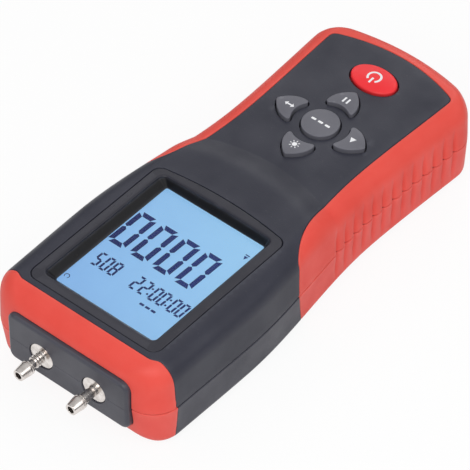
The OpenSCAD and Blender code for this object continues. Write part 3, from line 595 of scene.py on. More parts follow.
    def shell(
        self,
        name: str,
        loops: Sequence[Array],
        thick: float,
        lips: Sequence[float] = (0.2,),
        spacing: float = 2.0,
        fluted: bool = False,
        sunk: float = 0.0,
        into: Optional[Facets] = None,
    ) -> Facets:
        """Builds a closed shell over the part of the net that the loops bound.

        Args:
            name: Name for the log.
            loops: Closed net lines, the outer ones counter-clockwise and the holes clockwise.
            thick: Wall thickness.
            lips: Radius of each loop's rounded edge; the last one serves for all that follow.
            spacing: Distance between the surface's points.
            fluted: Whether the flutes are cut.
            sunk: How far the shell lies under the case's surface.
            into: Facets that the shell joins, or none for new ones.

        Returns:
            The shell's facets.
        """
        flip = self.half is Half.LOWER
        facets = into or Facets()
        rims, outer_rows, inner_rows = [], [], []
        turns = [math.radians(a) for a in (0.0, 30.0, 60.0, 90.0)]
        for place, loop in enumerate(loops):
            lip = lips[min(place, len(lips) - 1)]
            inward = left_of(loop)
            edge = self.lift(loop, fluted)
            smooth = self.normals(loop)
            aside = -unit(self.lift(loop + inward * 0.05, fluted) - edge)
            back = self.lift(loop) - smooth * (thick + sunk)
            rows = []
            for turn in turns:
                net = loop + inward * lip * (1.0 - math.cos(turn))
                normal = self.normals(net, fluted)
                blended = unit(aside * math.cos(turn) + normal * math.sin(turn))
                depth = lip * (1.0 - math.sin(turn)) + sunk
                rows.append((facets.add(self.lift(net, fluted) - normal * depth), blended, net))
            wall = facets.add(back)
            rim = self.lift(rows[-1][2]) - self.normals(rows[-1][2]) * (thick + sunk)
            under = facets.add(rim)
            down = -self.normals(rows[-1][2])
            facets.strip(under, wall, down, down, flip)
            facets.strip(wall, rows[0][0], aside, aside, flip)
            for low, high in zip(rows[:-1], rows[1:]):
                facets.strip(low[0], high[0], low[1], high[1], flip)
            rims.append(rows[-1][2])
            outer_rows.append(rows[-1][0])
            inner_rows.append(under)
        tree = KDTree(sum(len(r) for r in rims))
        for i, p in enumerate(np.concatenate(rims)):
            tree.insert((p[0], p[1], 0.0), i)
        tree.balance()
        fill = self.lattice(fluted, spacing)
        fill = fill[enclosed(fill, rims)]
        near = np.array([tree.find((p[0], p[1], 0.0))[2] for p in fill])
        fill = fill[near > 0.35]
        points = np.concatenate([*rims, fill])
        edges, start = [], 0
        for rim in rims:
            n = len(rim)
            edges += [(start + i, start + (i + 1) % n) for i in range(n)]
            start += n
        out = delaunay_2d_cdt([Vector(p) for p in points], edges, [], 0, 1e-6)
        corners = np.array([[v[0], v[1]] for v in out[0]])
        tris = np.array([t for t in out[2] if len(t) == 3])
        tris = tris[enclosed(corners[tris].mean(axis=1), rims)]
        source = np.array([o[0] if o else -1 for o in out[3]])
        extra = np.nonzero(source < 0)[0]
        net = points
        if len(extra):
            net = np.concatenate([points, corners[extra]])
            LOG.warning("%s: %d crossings in its outline", name, len(extra))
        slot = source.copy()
        slot[extra] = len(points) + np.arange(len(extra))
        tris = slot[tris]
        normal = self.normals(net, fluted)
        surface = self.lift(net, fluted) - normal * sunk
        smooth = self.normals(net) if fluted else normal
        under = self.lift(net) - smooth * (thick + sunk)
        rim_count = sum(len(r) for r in rims)
        top_ids = np.concatenate([*outer_rows, facets.add(surface[rim_count:])])
        low_ids = np.concatenate([*inner_rows, facets.add(under[rim_count:])])
        order = tris[:, ::-1] if flip else tris
        facets.face(top_ids[order], normal[order])
        order = order[:, ::-1]
        facets.face(low_ids[order], -smooth[order])
        LOG.info("%s: %d vertices, %d faces", name, facets.count, len(facets.faces))
        return facets


@dataclass(frozen=True)
class Lines:
    """Plan values of the lines on which the case's colours meet, for one half."""

    strip_w: float
    tail_s: float
    tail_bow: float
    end_s: float
    part_end_s: float
    wall_share: float
    wall_bulge: float
    cap_top_s: float
    cap_side_s: float
    cap_part_s: float
    cap_bulge: float
    block_h: float
    flare_s: float = 84.0
    widths: Sequence[Pair] = (
        (-200.0, 1.0),
        (-28.0, 1.0),
        (-24.5, 0.99),
        (-20.5, 0.94),
        (-16.5, 0.89),
        (-13.1, 0.83),
        (-10.3, 0.735),
        (-7.7, 0.63),
        (-5.6, 0.5),
        (-3.6, 0.375),
        (-2.0, 0.26),
        (-0.9, 0.145),
        (0.0, 0.05),
    )
    edge_w: float = 1.0
    cap_bend_x: float = 30.2
    cap_bend_l: float = 4.8
    block_w: float = 58.3
    block_r: float = 4.6


@dataclass
class Seams:
    """Net lines of one half, each from the middle plane or the parting line on the right side."""

    skin: Skin
    lines: Lines
    gap: float

    def __post_init__(self) -> None:
        """Finds the half's wall line at the parting gap."""
        shape = self.skin.shape
        self.rim_z = shape.part_z + self.skin.sign * self.gap
        self.rim = self.skin.level_line(self.rim_z)
        self.rim_at = self.skin.lift(self.rim)

    def wall(self, net: Array, part_s: float, share: float, bulge: float) -> Array:
        """Net line down the right wall, from the end of a line on the shoulder to the parting line.

        Args:
            net: The line on the shoulder.
            part_s: Station at which the parting line is met.
            share: How far down the curve's middle knot lies, as a share.
            bulge: How far the knot lies towards the head.

        Returns:
            The shoulder's line with the wall's line after it.
        """
        last = self.skin.lift(net[-1:])[0]
        start = np.array([last[1], last[2]])
        end = np.array([part_s - self.skin.shape.mid_s, self.rim_z])
        knot = start + (end - start) * share + [bulge, 0.0]
        t = np.linspace(0.06, 1.0, 26)[:, None]
        curve = (1.0 - t) ** 2 * start + 2.0 * t * (1.0 - t) * knot + t * t * end
        return np.concatenate([net, self.skin.on_wall(Wall.RIGHT, curve[:, 0], curve[:, 1])])

    def grip(self) -> Array:
        """Edge of the handle's red layer, from the middle of the handle's end to the parting line."""
        shape, lines, skin = self.skin.shape, self.lines, self.skin
        corner_s = lines.tail_s + lines.tail_bow
        t = np.linspace(0.0, 0.97, 24)
        corner_x = float(shape.half_w(np.array(corner_s))) - lines.strip_w
        tail = np.stack([t * corner_x, lines.tail_s + lines.tail_bow * t * t], axis=1)
        s = np.concatenate([np.linspace(corner_s + 0.6, lines.flare_s, 80), np.linspace(lines.flare_s, lines.end_s, 90)[1:]])
        knots = np.array(lines.widths)
        width = lines.strip_w * np.interp(s - lines.end_s, knots[:, 0], knots[:, 1])
        for _ in range(12):
            width[1:-1] = (width[:-2] + width[1:-1] * 2.0 + width[2:]) / 4.0
        side = np.stack([shape.half_w(s) - width, s], axis=1)[width > lines.edge_w]
        plan = np.concatenate([tail, side])
        ends = plan[[0, -1]].copy()
        plan = resampled(plan, 0.9, False)
        for _ in range(3):
            plan[1:-1] = (plan[:-2] + plan[1:-1] * 2.0 + plan[2:]) / 4.0
        plan[[0, -1]] = ends
        plan = plan - [0.0, shape.mid_s]
        return self.wall(skin.on_plan(plan), lines.part_end_s, lines.wall_share, lines.wall_bulge)

    def cap(self) -> Array:
        """Edge of the front's red layer, from the middle plane to the parting line."""
        shape, lines, skin = self.skin.shape, self.lines, self.skin
        bend = lines.cap_bend_x + np.linspace(0.0, lines.cap_bend_l, 12)
        drop = ease(np.linspace(0.0, 1.0, 12)) * (lines.cap_top_s - lines.cap_side_s)
        mid = np.stack([bend, lines.cap_top_s - drop], axis=1)
        lead = np.stack([np.linspace(0.0, lines.cap_bend_x - 0.5, 30), np.full(30, lines.cap_top_s)], axis=1)
        half = float(shape.section_w(np.array(lines.cap_side_s)))
        tail = np.linspace(bend[-1] + 0.5, half - lines.edge_w, 10)
        out = np.stack([tail, np.full(10, lines.cap_side_s)], axis=1)
        net = skin.on_plan(np.concatenate([lead, mid, out]) - [0.0, shape.mid_s])
        return self.wall(net, lines.cap_part_s, lines.wall_share, lines.cap_bulge)

    def notch(self) -> Array:
        """Edge of the port block's opening in the front wall, from the parting line on the right."""
        lines, shape, skin = self.lines, self.skin.shape, self.skin
        w, h, r = lines.block_w / 2, lines.block_h, lines.block_r
        turn = np.linspace(0.0, math.pi / 2, 10)
        up = np.linspace(self.gap, h - r, 8)
        xs = [np.full(8, w), w - r + r * np.cos(turn[1:]), np.linspace(w - r, 0.0, 30)[1:]]
        zs = [up, h - r + r * np.sin(turn[1:]), np.full(29, h)]
        x, z = np.concatenate(xs), np.concatenate(zs)
        return skin.on_wall(Wall.FRONT, x, shape.part_z + skin.sign * z)

    def stretch(self, y_low: float, y_high: float) -> Array:
        """Right side of the parting line between two places along the case."""
        at = self.rim_at
        pick = (at[:, 0] > 0.0) & (at[:, 1] > y_low) & (at[:, 1] < y_high)
        pick &= np.arange(len(at)) < len(at) * 0.52
        return self.rim[pick]

    def end_y(self, line: Array) -> float:
        """Where a line meets the parting line, along the case."""
        return float(self.skin.lift(line[-1:])[0, 1])

    @staticmethod
    def both(line: Array) -> Array:
        """A line from the middle to the right, led by its mirror image."""
        mirrored = (line * [-1.0, 1.0])[::-1]
        return np.concatenate([mirrored, line[1:] if abs(line[0, 0]) < 1e-6 else line])

    def panel_field(self, step: float) -> Array:
        """Closed net line round the black face and walls."""
        grip, cap = self.grip(), self.cap()
        side = self.stretch(self.end_y(grip) + 0.1, self.end_y(cap) - 0.1)
        loop = np.concatenate([self.both(grip), side, self.both(cap)[::-1], (side * [-1.0, 1.0])[::-1]])
        return softened(resampled(loop, step, True), 2)

    def grip_field(self, step: float) -> Array:
        """Closed net line round the handle's red layer."""
        grip = self.grip()
        tail = self.stretch(-200.0, self.end_y(grip) - 0.1)
        loop = np.concatenate([self.both(tail), self.both(grip)[::-1]])
        return softened(resampled(loop, step, True), 2)

    def cap_field(self, step: float) -> Array:
        """Closed net line round the front's red layer."""
        cap = self.cap()
        front = self.stretch(self.end_y(cap) + 0.1, 200.0)
        front = front[self.skin.lift(front)[:, 0] > self.lines.block_w / 2 + 0.15]
        nose = np.concatenate([front, self.notch()])
        loop = np.concatenate([nose, (nose * [-1.0, 1.0])[::-1][1:], self.both(cap)])
        return softened(resampled(loop, step, True), 2)


class Finishes:
    """Shader node groups shared by the finishes, and the finishes themselves."""

    groups: dict[str, bpy.types.NodeTree] = {}
    made: dict[str, bpy.types.Material] = {}


def linear(code: str) -> tuple[float, float, float, float]:
    """Linear colour of an sRGB hex code."""
    parts = [int(code[i : i + 2], 16) / 255.0 for i in (1, 3, 5)]
    values = [c / 12.92 if c <= 0.04045 else ((c + 0.055) / 1.055) ** 2.4 for c in parts]
    return (values[0], values[1], values[2], 1.0)


@dataclass
class Wiring:
    """Short hand for building a node tree."""

    tree: bpy.types.NodeTree

    def add(self, kind: str, **settings: object) -> bpy.types.Node:
        """Adds a node and sets its properties."""
        node = self.tree.nodes.new(kind)
        for name, value in settings.items():
            setattr(node, name, value)
        return node

    def link(self, source: Socket, target: Socket) -> None:
        """Joins two sockets."""
        self.tree.links.new(source, target)

    def math(self, kind: str, a: object, b: object) -> Socket:
        """A math node on two values or sockets."""
        node = self.add("ShaderNodeMath", operation=kind)
        for socket, value in zip(node.inputs, (a, b)):
            if isinstance(value, Socket):
                self.link(value, socket)
            else:
                socket.default_value = value
        return node.outputs[0]


def group_tree(name: str, inputs: Sequence[tuple[str, float]], outputs: Sequence[str]) -> Wiring:
    """Starts a shader node group.

    Args:
        name: Its name.
        inputs: Names and starting values of its inputs.
        outputs: Names of its outputs.

    Returns:
        The wiring, with nodes named In and Out.
    """
    tree = bpy.data.node_groups.new(name, "ShaderNodeTree")
    for label, value in inputs:
        socket = tree.interface.new_socket(name=label, in_out="INPUT", socket_type="NodeSocketFloat")
        socket.default_value = value
    for label in outputs:
        tree.interface.new_socket(name=label, in_out="OUTPUT", socket_type="NodeSocketFloat")
    wiring = Wiring(tree)
    wiring.add("NodeGroupInput", name="In")
    wiring.add("NodeGroupOutput", name="Out")
    Finishes.groups[name] = tree
    return wiring


def make_grain_group() -> None:
    """Fine spark-eroded grain of moulded plastic: a height and a tone."""
    w = group_tree("moulded_grain", [("Scale", 2600.0), ("Patch", 60.0)], ["Height", "Tone"])
    start, end = w.tree.nodes["In"], w.tree.nodes["Out"]
    place = w.add("ShaderNodeTexCoord")
    fine = w.add("ShaderNodeTexNoise")
    fine.inputs["Detail"].default_value = 3.0
    cells = w.add("ShaderNodeTexVoronoi", feature="F1")
    broad = w.add("ShaderNodeTexNoise")
    broad.inputs["Detail"].default_value = 4.0
    for node, label in ((fine, "Scale"), (cells, "Scale"), (broad, "Patch")):
        w.link(place.outputs["Object"], node.inputs["Vector"])
        w.link(start.outputs[label], node.inputs["Scale"])
    height = w.math("ADD", fine.outputs[0], w.math("MULTIPLY", cells.outputs["Distance"], 0.5))
    w.link(height, end.inputs["Height"])
    w.link(broad.outputs[0], end.inputs["Tone"])


def make_wear_group() -> None:
    """Polish along proud edges: a mask."""
    w = group_tree("edge_wear", [("Reach", 0.03), ("Breakup", 90.0)], ["Mask"])
    start, end = w.tree.nodes["In"], w.tree.nodes["Out"]
    shape = w.add("ShaderNodeNewGeometry")
    place = w.add("ShaderNodeTexCoord")
    noise = w.add("ShaderNodeTexNoise")
    noise.inputs["Detail"].default_value = 5.0
    w.link(place.outputs["Object"], noise.inputs["Vector"])
    w.link(start.outputs["Breakup"], noise.inputs["Scale"])
    proud = w.math("SUBTRACT", shape.outputs["Pointiness"], 0.5)
    sharp = w.math("DIVIDE", proud, start.outputs["Reach"])
    broken = w.math("MULTIPLY", sharp, w.math("MULTIPLY", noise.outputs[0], 1.6))
    clamp = w.add("ShaderNodeClamp")
    w.link(broken, clamp.inputs[0])
    w.link(clamp.outputs[0], end.inputs["Mask"])


def make_dust_group() -> None:
    """Faint dust on what faces up: a mask."""
    w = group_tree("dust", [("Scale", 700.0), ("Cover", 0.62)], ["Mask"])
    start, end = w.tree.nodes["In"], w.tree.nodes["Out"]
    shape = w.add("ShaderNodeNewGeometry")
    place = w.add("ShaderNodeTexCoord")
    noise = w.add("ShaderNodeTexNoise")
    noise.inputs["Detail"].default_value = 6.0
    w.link(place.outputs["Object"], noise.inputs["Vector"])
    w.link(start.outputs["Scale"], noise.inputs["Scale"])
    split = w.add("ShaderNodeSeparateXYZ")
    w.link(shape.outputs["Normal"], split.inputs[0])
    up = w.math("MAXIMUM", split.outputs["Z"], 0.0)
    specks = w.math("MULTIPLY", w.math("SUBTRACT", noise.outputs[0], start.outputs["Cover"]), 9.0)
    clamp = w.add("ShaderNodeClamp")
    w.link(w.math("MULTIPLY", specks, up), clamp.inputs[0])
    w.link(clamp.outputs[0], end.inputs["Mask"])


def make_brush_group() -> None:
    """Turning marks of machined metal round the Y axis: a height and a tone."""
    w = group_tree("turning_marks", [("Scale", 900.0), ("Blotch", 300.0)], ["Height", "Tone"])
    start, end = w.tree.nodes["In"], w.tree.nodes["Out"]
    place = w.add("ShaderNodeTexCoord")
    stretch = w.add("ShaderNodeMapping")
    stretch.inputs["Scale"].default_value = (0.15, 6.0, 0.15)
    lines = w.add("ShaderNodeTexNoise")
    blotch = w.add("ShaderNodeTexNoise")
    w.link(place.outputs["Object"], stretch.inputs["Vector"])
    w.link(stretch.outputs[0], lines.inputs["Vector"])
    w.link(place.outputs["Object"], blotch.inputs["Vector"])
    w.link(start.outputs["Scale"], lines.inputs["Scale"])
    w.link(start.outputs["Blotch"], blotch.inputs["Scale"])
    w.link(lines.outputs[0], end.inputs["Height"])
    w.link(blotch.outputs[0], end.inputs["Tone"])


@dataclass(frozen=True)
class Moulded:
    """A moulded plastic or rubber finish with grain, worn edges and dust, and painted shade in a recess if a deep tint
    is set.

    Colours are sRGB codes; grain is the grain's scale a metre and bump its height in metres.
    """

    name: str
    colour: str
    patch: str
    worn: str
    roughness: float
    spread: float = 0.08
    grain: float = 2600.0
    bump: float = 2.5e-5
    specular: float = 0.5
    wear: float = 0.35
    dust: float = 0.03
    # The deep colour and the height after it: painted shade, darker below that height, on walls down in a recess.
    deep: str = ""
    painted_shade_z: float = 0.0385

    def material(self) -> bpy.types.Material:
        """The Blender material, made once."""
        if self.name in Finishes.made:
            return Finishes.made[self.name]
        mat = bpy.data.materials.new(self.name)
        mat.use_nodes = True
        mat.diffuse_color = linear(self.colour)
        w = Wiring(mat.node_tree)
        shader = w.tree.nodes["Principled BSDF"]
        shader.inputs["Specular IOR Level"].default_value = self.specular
        grain = self.group(w, "moulded_grain", {"Scale": self.grain, "Patch": 55.0})
        wear = self.group(w, "edge_wear", {"Reach": 0.05, "Breakup": 160.0})
        dust = self.group(w, "dust", {"Scale": 900.0, "Cover": 0.64})
        ramp = w.add("ShaderNodeValToRGB")
        ramp.color_ramp.elements[0].position = 0.32
        ramp.color_ramp.elements[1].position = 0.7
        ramp.color_ramp.elements[0].color = linear(self.colour)
        ramp.color_ramp.elements[1].color = linear(self.patch)
        w.link(grain.outputs["Tone"], ramp.inputs[0])
        colour = ramp.outputs[0]
        # Painted shade below the set height, when a deep tint is given.
        if self.deep:
            colour = self.painted_recess_shade(w, colour)
        for mask, share, tint in ((wear, self.wear, self.worn), (dust, self.dust, "#c9c6c0")):
            mix = w.add("ShaderNodeMix", data_type="RGBA")
            w.link(w.math("MULTIPLY", mask.outputs["Mask"], share), mix.inputs["Factor"])
            w.link(colour, mix.inputs[6])
            mix.inputs[7].default_value = linear(tint)
            colour = mix.outputs[2]
        w.link(colour, shader.inputs["Base Color"])
        span = w.add("ShaderNodeMapRange")
        span.inputs["From Min"].default_value = 0.3
        span.inputs["From Max"].default_value = 0.7
        span.inputs["To Min"].default_value = self.roughness - self.spread
        span.inputs["To Max"].default_value = self.roughness + self.spread
        w.link(grain.outputs["Tone"], span.inputs["Value"])
        rough = w.math("SUBTRACT", span.outputs[0], w.math("MULTIPLY", wear.outputs["Mask"], 0.08))
        w.link(w.math("ADD", rough, w.math("MULTIPLY", dust.outputs["Mask"], 0.15)), shader.inputs["Roughness"])
        bump = w.add("ShaderNodeBump")
        bump.inputs["Distance"].default_value = self.bump
        bump.inputs["Strength"].default_value = 0.8
        w.link(grain.outputs["Height"], bump.inputs["Height"])
        w.link(bump.outputs[0], shader.inputs["Normal"])
        Finishes.made[self.name] = mat
        return mat

    def painted_recess_shade(self, w: Wiring, colour: Socket) -> Socket:
        """The colour with its deep tint below a height: painted shade on walls down in a recess."""
        place = w.add("ShaderNodeTexCoord")
        split = w.add("ShaderNodeSeparateXYZ")
        w.link(place.outputs["Object"], split.inputs[0])
        span = w.add("ShaderNodeMapRange")
        span.inputs["From Min"].default_value = self.painted_shade_z
        span.inputs["From Max"].default_value = self.painted_shade_z + 0.0007
        w.link(split.outputs["Z"], span.inputs["Value"])
        mix = w.add("ShaderNodeMix", data_type="RGBA")
        w.link(span.outputs[0], mix.inputs["Factor"])
        mix.inputs[6].default_value = linear(self.deep)
        w.link(colour, mix.inputs[7])
        return mix.outputs[2]

    @staticmethod
    def group(w: Wiring, name: str, values: dict[str, float]) -> bpy.types.Node:
        """Places a shared group in a material with its own values."""
        node = w.add("ShaderNodeGroup")
        node.node_tree = Finishes.groups[name]
        for label, value in values.items():
            node.inputs[label].default_value = value
        return node


@dataclass(frozen=True)
class Metal:
    """A plated or turned metal finish."""

    name: str
    colour: str
    shade: str
    roughness: float
    bump: float = 1.5e-5
    marks: float = 900.0

    def material(self) -> bpy.types.Material:
        """The Blender material, made once."""
        if self.name in Finishes.made:
            return Finishes.made[self.name]
        mat = bpy.data.materials.new(self.name)
        mat.use_nodes = True
        w = Wiring(mat.node_tree)
        shader = w.tree.nodes["Principled BSDF"]
        shader.inputs["Metallic"].default_value = 1.0
        marks = Moulded.group(w, "turning_marks", {"Scale": self.marks, "Blotch": 420.0})
        ramp = w.add("ShaderNodeValToRGB")
        ramp.color_ramp.elements[0].position = 0.35
        ramp.color_ramp.elements[1].position = 0.65
        ramp.color_ramp.elements[0].color = linear(self.shade)
        ramp.color_ramp.elements[1].color = linear(self.colour)
        w.link(marks.outputs["Tone"], ramp.inputs[0])
        w.link(ramp.outputs[0], shader.inputs["Base Color"])
        span = w.add("ShaderNodeMapRange")
        span.inputs["To Min"].default_value = self.roughness * 0.7
        span.inputs["To Max"].default_value = self.roughness * 1.4
        w.link(marks.outputs["Height"], span.inputs["Value"])
        w.link(span.outputs[0], shader.inputs["Roughness"])
        bump = w.add("ShaderNodeBump")
        bump.inputs["Distance"].default_value = self.bump
        w.link(marks.outputs["Height"], bump.inputs["Height"])
        w.link(bump.outputs[0], shader.inputs["Normal"])
        Finishes.made[self.name] = mat
        return mat


@dataclass(frozen=True)
class Glass:
    """Clear lens with a faintly uneven surface."""

    name: str = "lens_clear"

    def material(self) -> bpy.types.Material:
        """The Blender material, made once."""
        if self.name in Finishes.made:
            return Finishes.made[self.name]
        mat = bpy.data.materials.new(self.name)
        mat.use_nodes = True
        w = Wiring(mat.node_tree)
        shader = w.tree.nodes["Principled BSDF"]
        shader.inputs["Transmission Weight"].default_value = 1.0
        shader.inputs["IOR"].default_value = 1.3
        shader.inputs["Specular IOR Level"].default_value = 0.3
        grain = Moulded.group(w, "moulded_grain", {"Scale": 500.0, "Patch": 40.0})
        ramp = w.add("ShaderNodeValToRGB")
        ramp.color_ramp.elements[0].color = linear("#f7fafd")
        ramp.color_ramp.elements[1].color = linear("#ffffff")
        w.link(grain.outputs["Tone"], ramp.inputs[0])
        w.link(ramp.outputs[0], shader.inputs["Base Color"])
        shader.inputs["Roughness"].default_value = 0.0
        Finishes.made[self.name] = mat
        return mat


@dataclass(frozen=True)
class Lit:
    """A surface that glows, its colour drifting across the display."""

    name: str
    low: str
    high: str
    strength: float
    mottle: float

    def material(self) -> bpy.types.Material:
        """The Blender material, made once."""
        if self.name in Finishes.made:
            return Finishes.made[self.name]
        mat = bpy.data.materials.new(self.name)
        mat.use_nodes = True
        w = Wiring(mat.node_tree)
        shader = w.tree.nodes["Principled BSDF"]
        place = w.add("ShaderNodeTexCoord")
        shift = w.add("ShaderNodeMapping")
        shift.inputs["Location"].default_value = (0.0, -Display.centre_y * MM, 0.0)
        w.link(place.outputs["Object"], shift.inputs["Vector"])
        split = w.add("ShaderNodeSeparateXYZ")
        w.link(shift.outputs[0], split.inputs[0])
        across = w.math("MULTIPLY", split.outputs["X"], -9.0)
        along = w.math("MULTIPLY", split.outputs["Y"], -8.0)
        noise = w.add("ShaderNodeTexNoise")
        noise.inputs["Scale"].default_value = 240.0
        w.link(place.outputs["Object"], noise.inputs["Vector"])
        spots = w.math("MULTIPLY", w.math("SUBTRACT", noise.outputs[0], 0.5), self.mottle)
        level = w.math("ADD", w.math("ADD", across, along), w.math("ADD", spots, 0.5))
        ramp = w.add("ShaderNodeValToRGB")
        ramp.color_ramp.elements[0].color = linear(self.low)
        ramp.color_ramp.elements[1].color = linear(self.high)
        w.link(level, ramp.inputs[0])
        w.link(ramp.outputs[0], shader.inputs["Emission Color"])
        shader.inputs["Emission Strength"].default_value = self.strength
        dim = w.add("ShaderNodeHueSaturation")
        dim.inputs["Value"].default_value = 0.2
        w.link(ramp.outputs[0], dim.inputs["Color"])
        w.link(dim.outputs[0], shader.inputs["Base Color"])
        shader.inputs["Specular IOR Level"].default_value = 0.1
        shader.inputs["Roughness"].default_value = 0.6
        Finishes.made[self.name] = mat
        return mat


@dataclass
class Level:
    """A flat or gently domed sheet over a plan, facing up or down, or turned to face the front."""

    z: float
    dome: float = 0.0
    centre: Pair = (0.0, 0.0)
    span: Pair = (1.0, 1.0)
    sign: float = 1.0
    front: bool = False

    def lift(self, net: Array, fluted: bool = False) -> Array:
        """Points of the sheet over plan points."""
        u = (net[:, 0] - self.centre[0]) / self.span[0]
        v = (net[:, 1] - self.centre[1]) / self.span[1]
        height = self.z - self.sign * self.dome * (u * u + v * v)
        if self.front:
            return np.stack([-net[:, 0], height, net[:, 1]], axis=1)
        return np.stack([net[:, 0], net[:, 1], height], axis=1)

    def normals(self, net: Array, fluted: bool = False) -> Array:
        """Outward normals of the sheet."""
        d = 0.05
        du = self.lift(net + [d, 0.0]) - self.lift(net - [d, 0.0])
        dv = self.lift(net + [0.0, d]) - self.lift(net - [0.0, d])
        return unit(np.cross(du, dv) * self.sign)


Edge = Sequence[tuple[float, float, float]]


def roll(radius: float, steps: int = 4) -> list[tuple[float, float, float]]:
    """Profile of a rounded edge: inward offset, depth and the normal's rise in degrees."""
    turns = [math.radians(90.0 * i / (steps - 1)) for i in range(steps)]
    return [(radius * (1 - math.cos(t)), radius * (1 - math.sin(t)), math.degrees(t)) for t in turns]


def slab(
    facets: Facets,
    sheet: Level,
    loops: Sequence[Array],
    thick: float,
    edge: Edge,
    hole_edge: Optional[Edge] = None,
    spacing: float = 0.0,
) -> None:
    """Adds a closed slab under a sheet.

    Args:
        facets: Where the slab goes.
        sheet: Its visible side.
        loops: Closed plan lines, the first counter-clockwise, the holes clockwise.
        thick: Its thickness.
        edge: Profile of the outer edge, from the wall to the face.
        hole_edge: Profile of the holes' edges.
        spacing: Distance of the points inside, or none for a flat slab.
    """
    flip = sheet.sign < 0
    rims, tops, lows = [], [], []
    for number, loop in enumerate(loops):
        profile = edge if number == 0 or hole_edge is None else hole_edge
        inward = left_of(loop)
        aside = -unit(sheet.lift(loop + inward * 0.05) - sheet.lift(loop))
        rows = []
        for offset, depth, rise in profile:
            net = loop + inward * offset
            normal = sheet.normals(net)
            turn = math.radians(rise)
            rows.append((facets.add(sheet.lift(net) - normal * depth), unit(aside * math.cos(turn) + normal * math.sin(turn)), net))
        first = rows[0]
        wall = facets.add(sheet.lift(first[2]) - sheet.normals(first[2]) * thick)
        under = facets.add(sheet.lift(rows[-1][2]) - sheet.normals(rows[-1][2]) * thick)
        down = -sheet.normals(rows[-1][2])
        facets.strip(under, wall, down, down, flip)
        facets.strip(wall, first[0], aside, aside, flip)
        for low, high in zip(rows[:-1], rows[1:]):
            facets.strip(low[0], high[0], low[1], high[1], flip)
        rims.append(rows[-1][2])
        tops.append(rows[-1][0])
        lows.append(under)
    fill = np.zeros((0, 2))
    if spacing > 0.0:
        low, high = rims[0].min(axis=0), rims[0].max(axis=0)
        ys = np.arange(low[1], high[1], spacing * 0.87)
        grid = [
            np.stack([np.arange(low[0], high[0], spacing) + (i % 2) * spacing / 2, np.full(len(np.arange(low[0], high[0], spacing)), y)], axis=1)
            for i, y in enumerate(ys)
        ]
        fill = np.concatenate(grid)
        fill = fill[enclosed(fill, rims)]
        joined = np.concatenate(rims)
        gap = np.min(np.linalg.norm(fill[:, None] - joined[None], axis=2), axis=1)
        fill = fill[gap > spacing * 0.45]
    points = np.concatenate([*rims, fill])
    edges, start = [], 0
    for rim in rims:
        n = len(rim)
        edges += [(start + i, start + (i + 1) % n) for i in range(n)]
        start += n
    out = delaunay_2d_cdt([Vector(p) for p in points], edges, [], 0, 1e-7)
    corners = np.array([[v[0], v[1]] for v in out[0]])
    tris = np.array([t for t in out[2] if len(t) == 3])
    tris = tris[enclosed(corners[tris].mean(axis=1), rims)]
    tris = np.array([o[0] for o in out[3]])[tris]
    normal = sheet.normals(points)
    surface = sheet.lift(points)
    rim_count = start
    top_ids = np.concatenate([*tops, facets.add(surface[rim_count:])])
    low_ids = np.concatenate([*lows, facets.add((surface - normal * thick)[rim_count:])])
    order = tris[:, ::-1] if flip else tris
    facets.face(top_ids[order], normal[order])
    order = order[:, ::-1]
    facets.face(low_ids[order], -normal[order])


def ring_line(centre: Pair, rx: float, ry: float, n: int = 64) -> Array:
    """Closed ellipse, counter-clockwise."""
    a = np.arange(n) * 2 * math.pi / n
    return np.stack([centre[0] + rx * np.cos(a), centre[1] + ry * np.sin(a)], axis=1)


def box_line(low: Pair, high: Pair, r: float, bow: float = 0.0, n: int = 12) -> Array:
    """Closed rounded rectangle, counter-clockwise, with its low edge bowed outwards.

    Args:
        low: Lowest corner.
        high: Highest corner.
        r: Corner radius.
        bow: How far the middle of the low edge bulges.
        n: Points to a corner.

    Returns:
        The line's points.
    """
    a = np.linspace(0.0, math.pi / 2, n)
    parts = []
    for cx, cy, turn in (
        (high[0] - r, low[1] + r, -math.pi / 2),
        (high[0] - r, high[1] - r, 0.0),
        (low[0] + r, high[1] - r, math.pi / 2),
        (low[0] + r, low[1] + r, math.pi),
    ):
        parts.append(np.stack([cx + r * np.cos(a + turn), cy + r * np.sin(a + turn)], axis=1))
    t = np.linspace(-1.0, 1.0, 41)[1:-1]
    middle, half = (low[0] + high[0]) / 2, (high[0] - low[0]) / 2 - r
    parts.append(np.stack([middle + t * half, low[1] - bow * (1 - t * t)], axis=1))
    return np.concatenate(parts)


def lathe(facets: Facets, profile: Sequence[Pair], axis_x: float, axis_z: float, n: int = 64) -> None:
    """Adds a ring turned round an axis along Y from a closed profile of radius and y, counter-clockwise.

    Args:
        facets: Where the ring goes.
        profile: Corners of the section, each as radius and y.
        axis_x: The axis's x.
        axis_z: The axis's z.
        n: Faces round the axis.
    """
    a = np.arange(n) * 2 * math.pi / n
    corners = np.array(profile)
    rings = []
    for radius, y in corners:
        rings.append(facets.add(np.stack([axis_x + radius * np.cos(a), np.full(n, y), axis_z + radius * np.sin(a)], axis=1)))
    for i in range(len(corners)):
        j = (i + 1) % len(corners)
        step = corners[j] - corners[i]
        out = unit(np.array([step[1], -step[0]]))
        normals = np.stack([out[0] * np.cos(a), np.full(n, out[1]), out[0] * np.sin(a)], axis=1)
        facets.strip(rings[j], rings[i], normals, normals, False)


def finish_piece(
    obj: bpy.types.Object, material: bpy.types.Material, body: str, slot: str, *nodes: str
) -> bpy.types.Object:
    """Gives a piece its finish and body, and says which nodes it stands for."""
    obj.data.materials.clear()
    obj.data.materials.append(material)
    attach(obj, body)
    if nodes:
        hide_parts(*nodes)
    LOG.info("piece %s on %s", obj.name, body)
    return obj
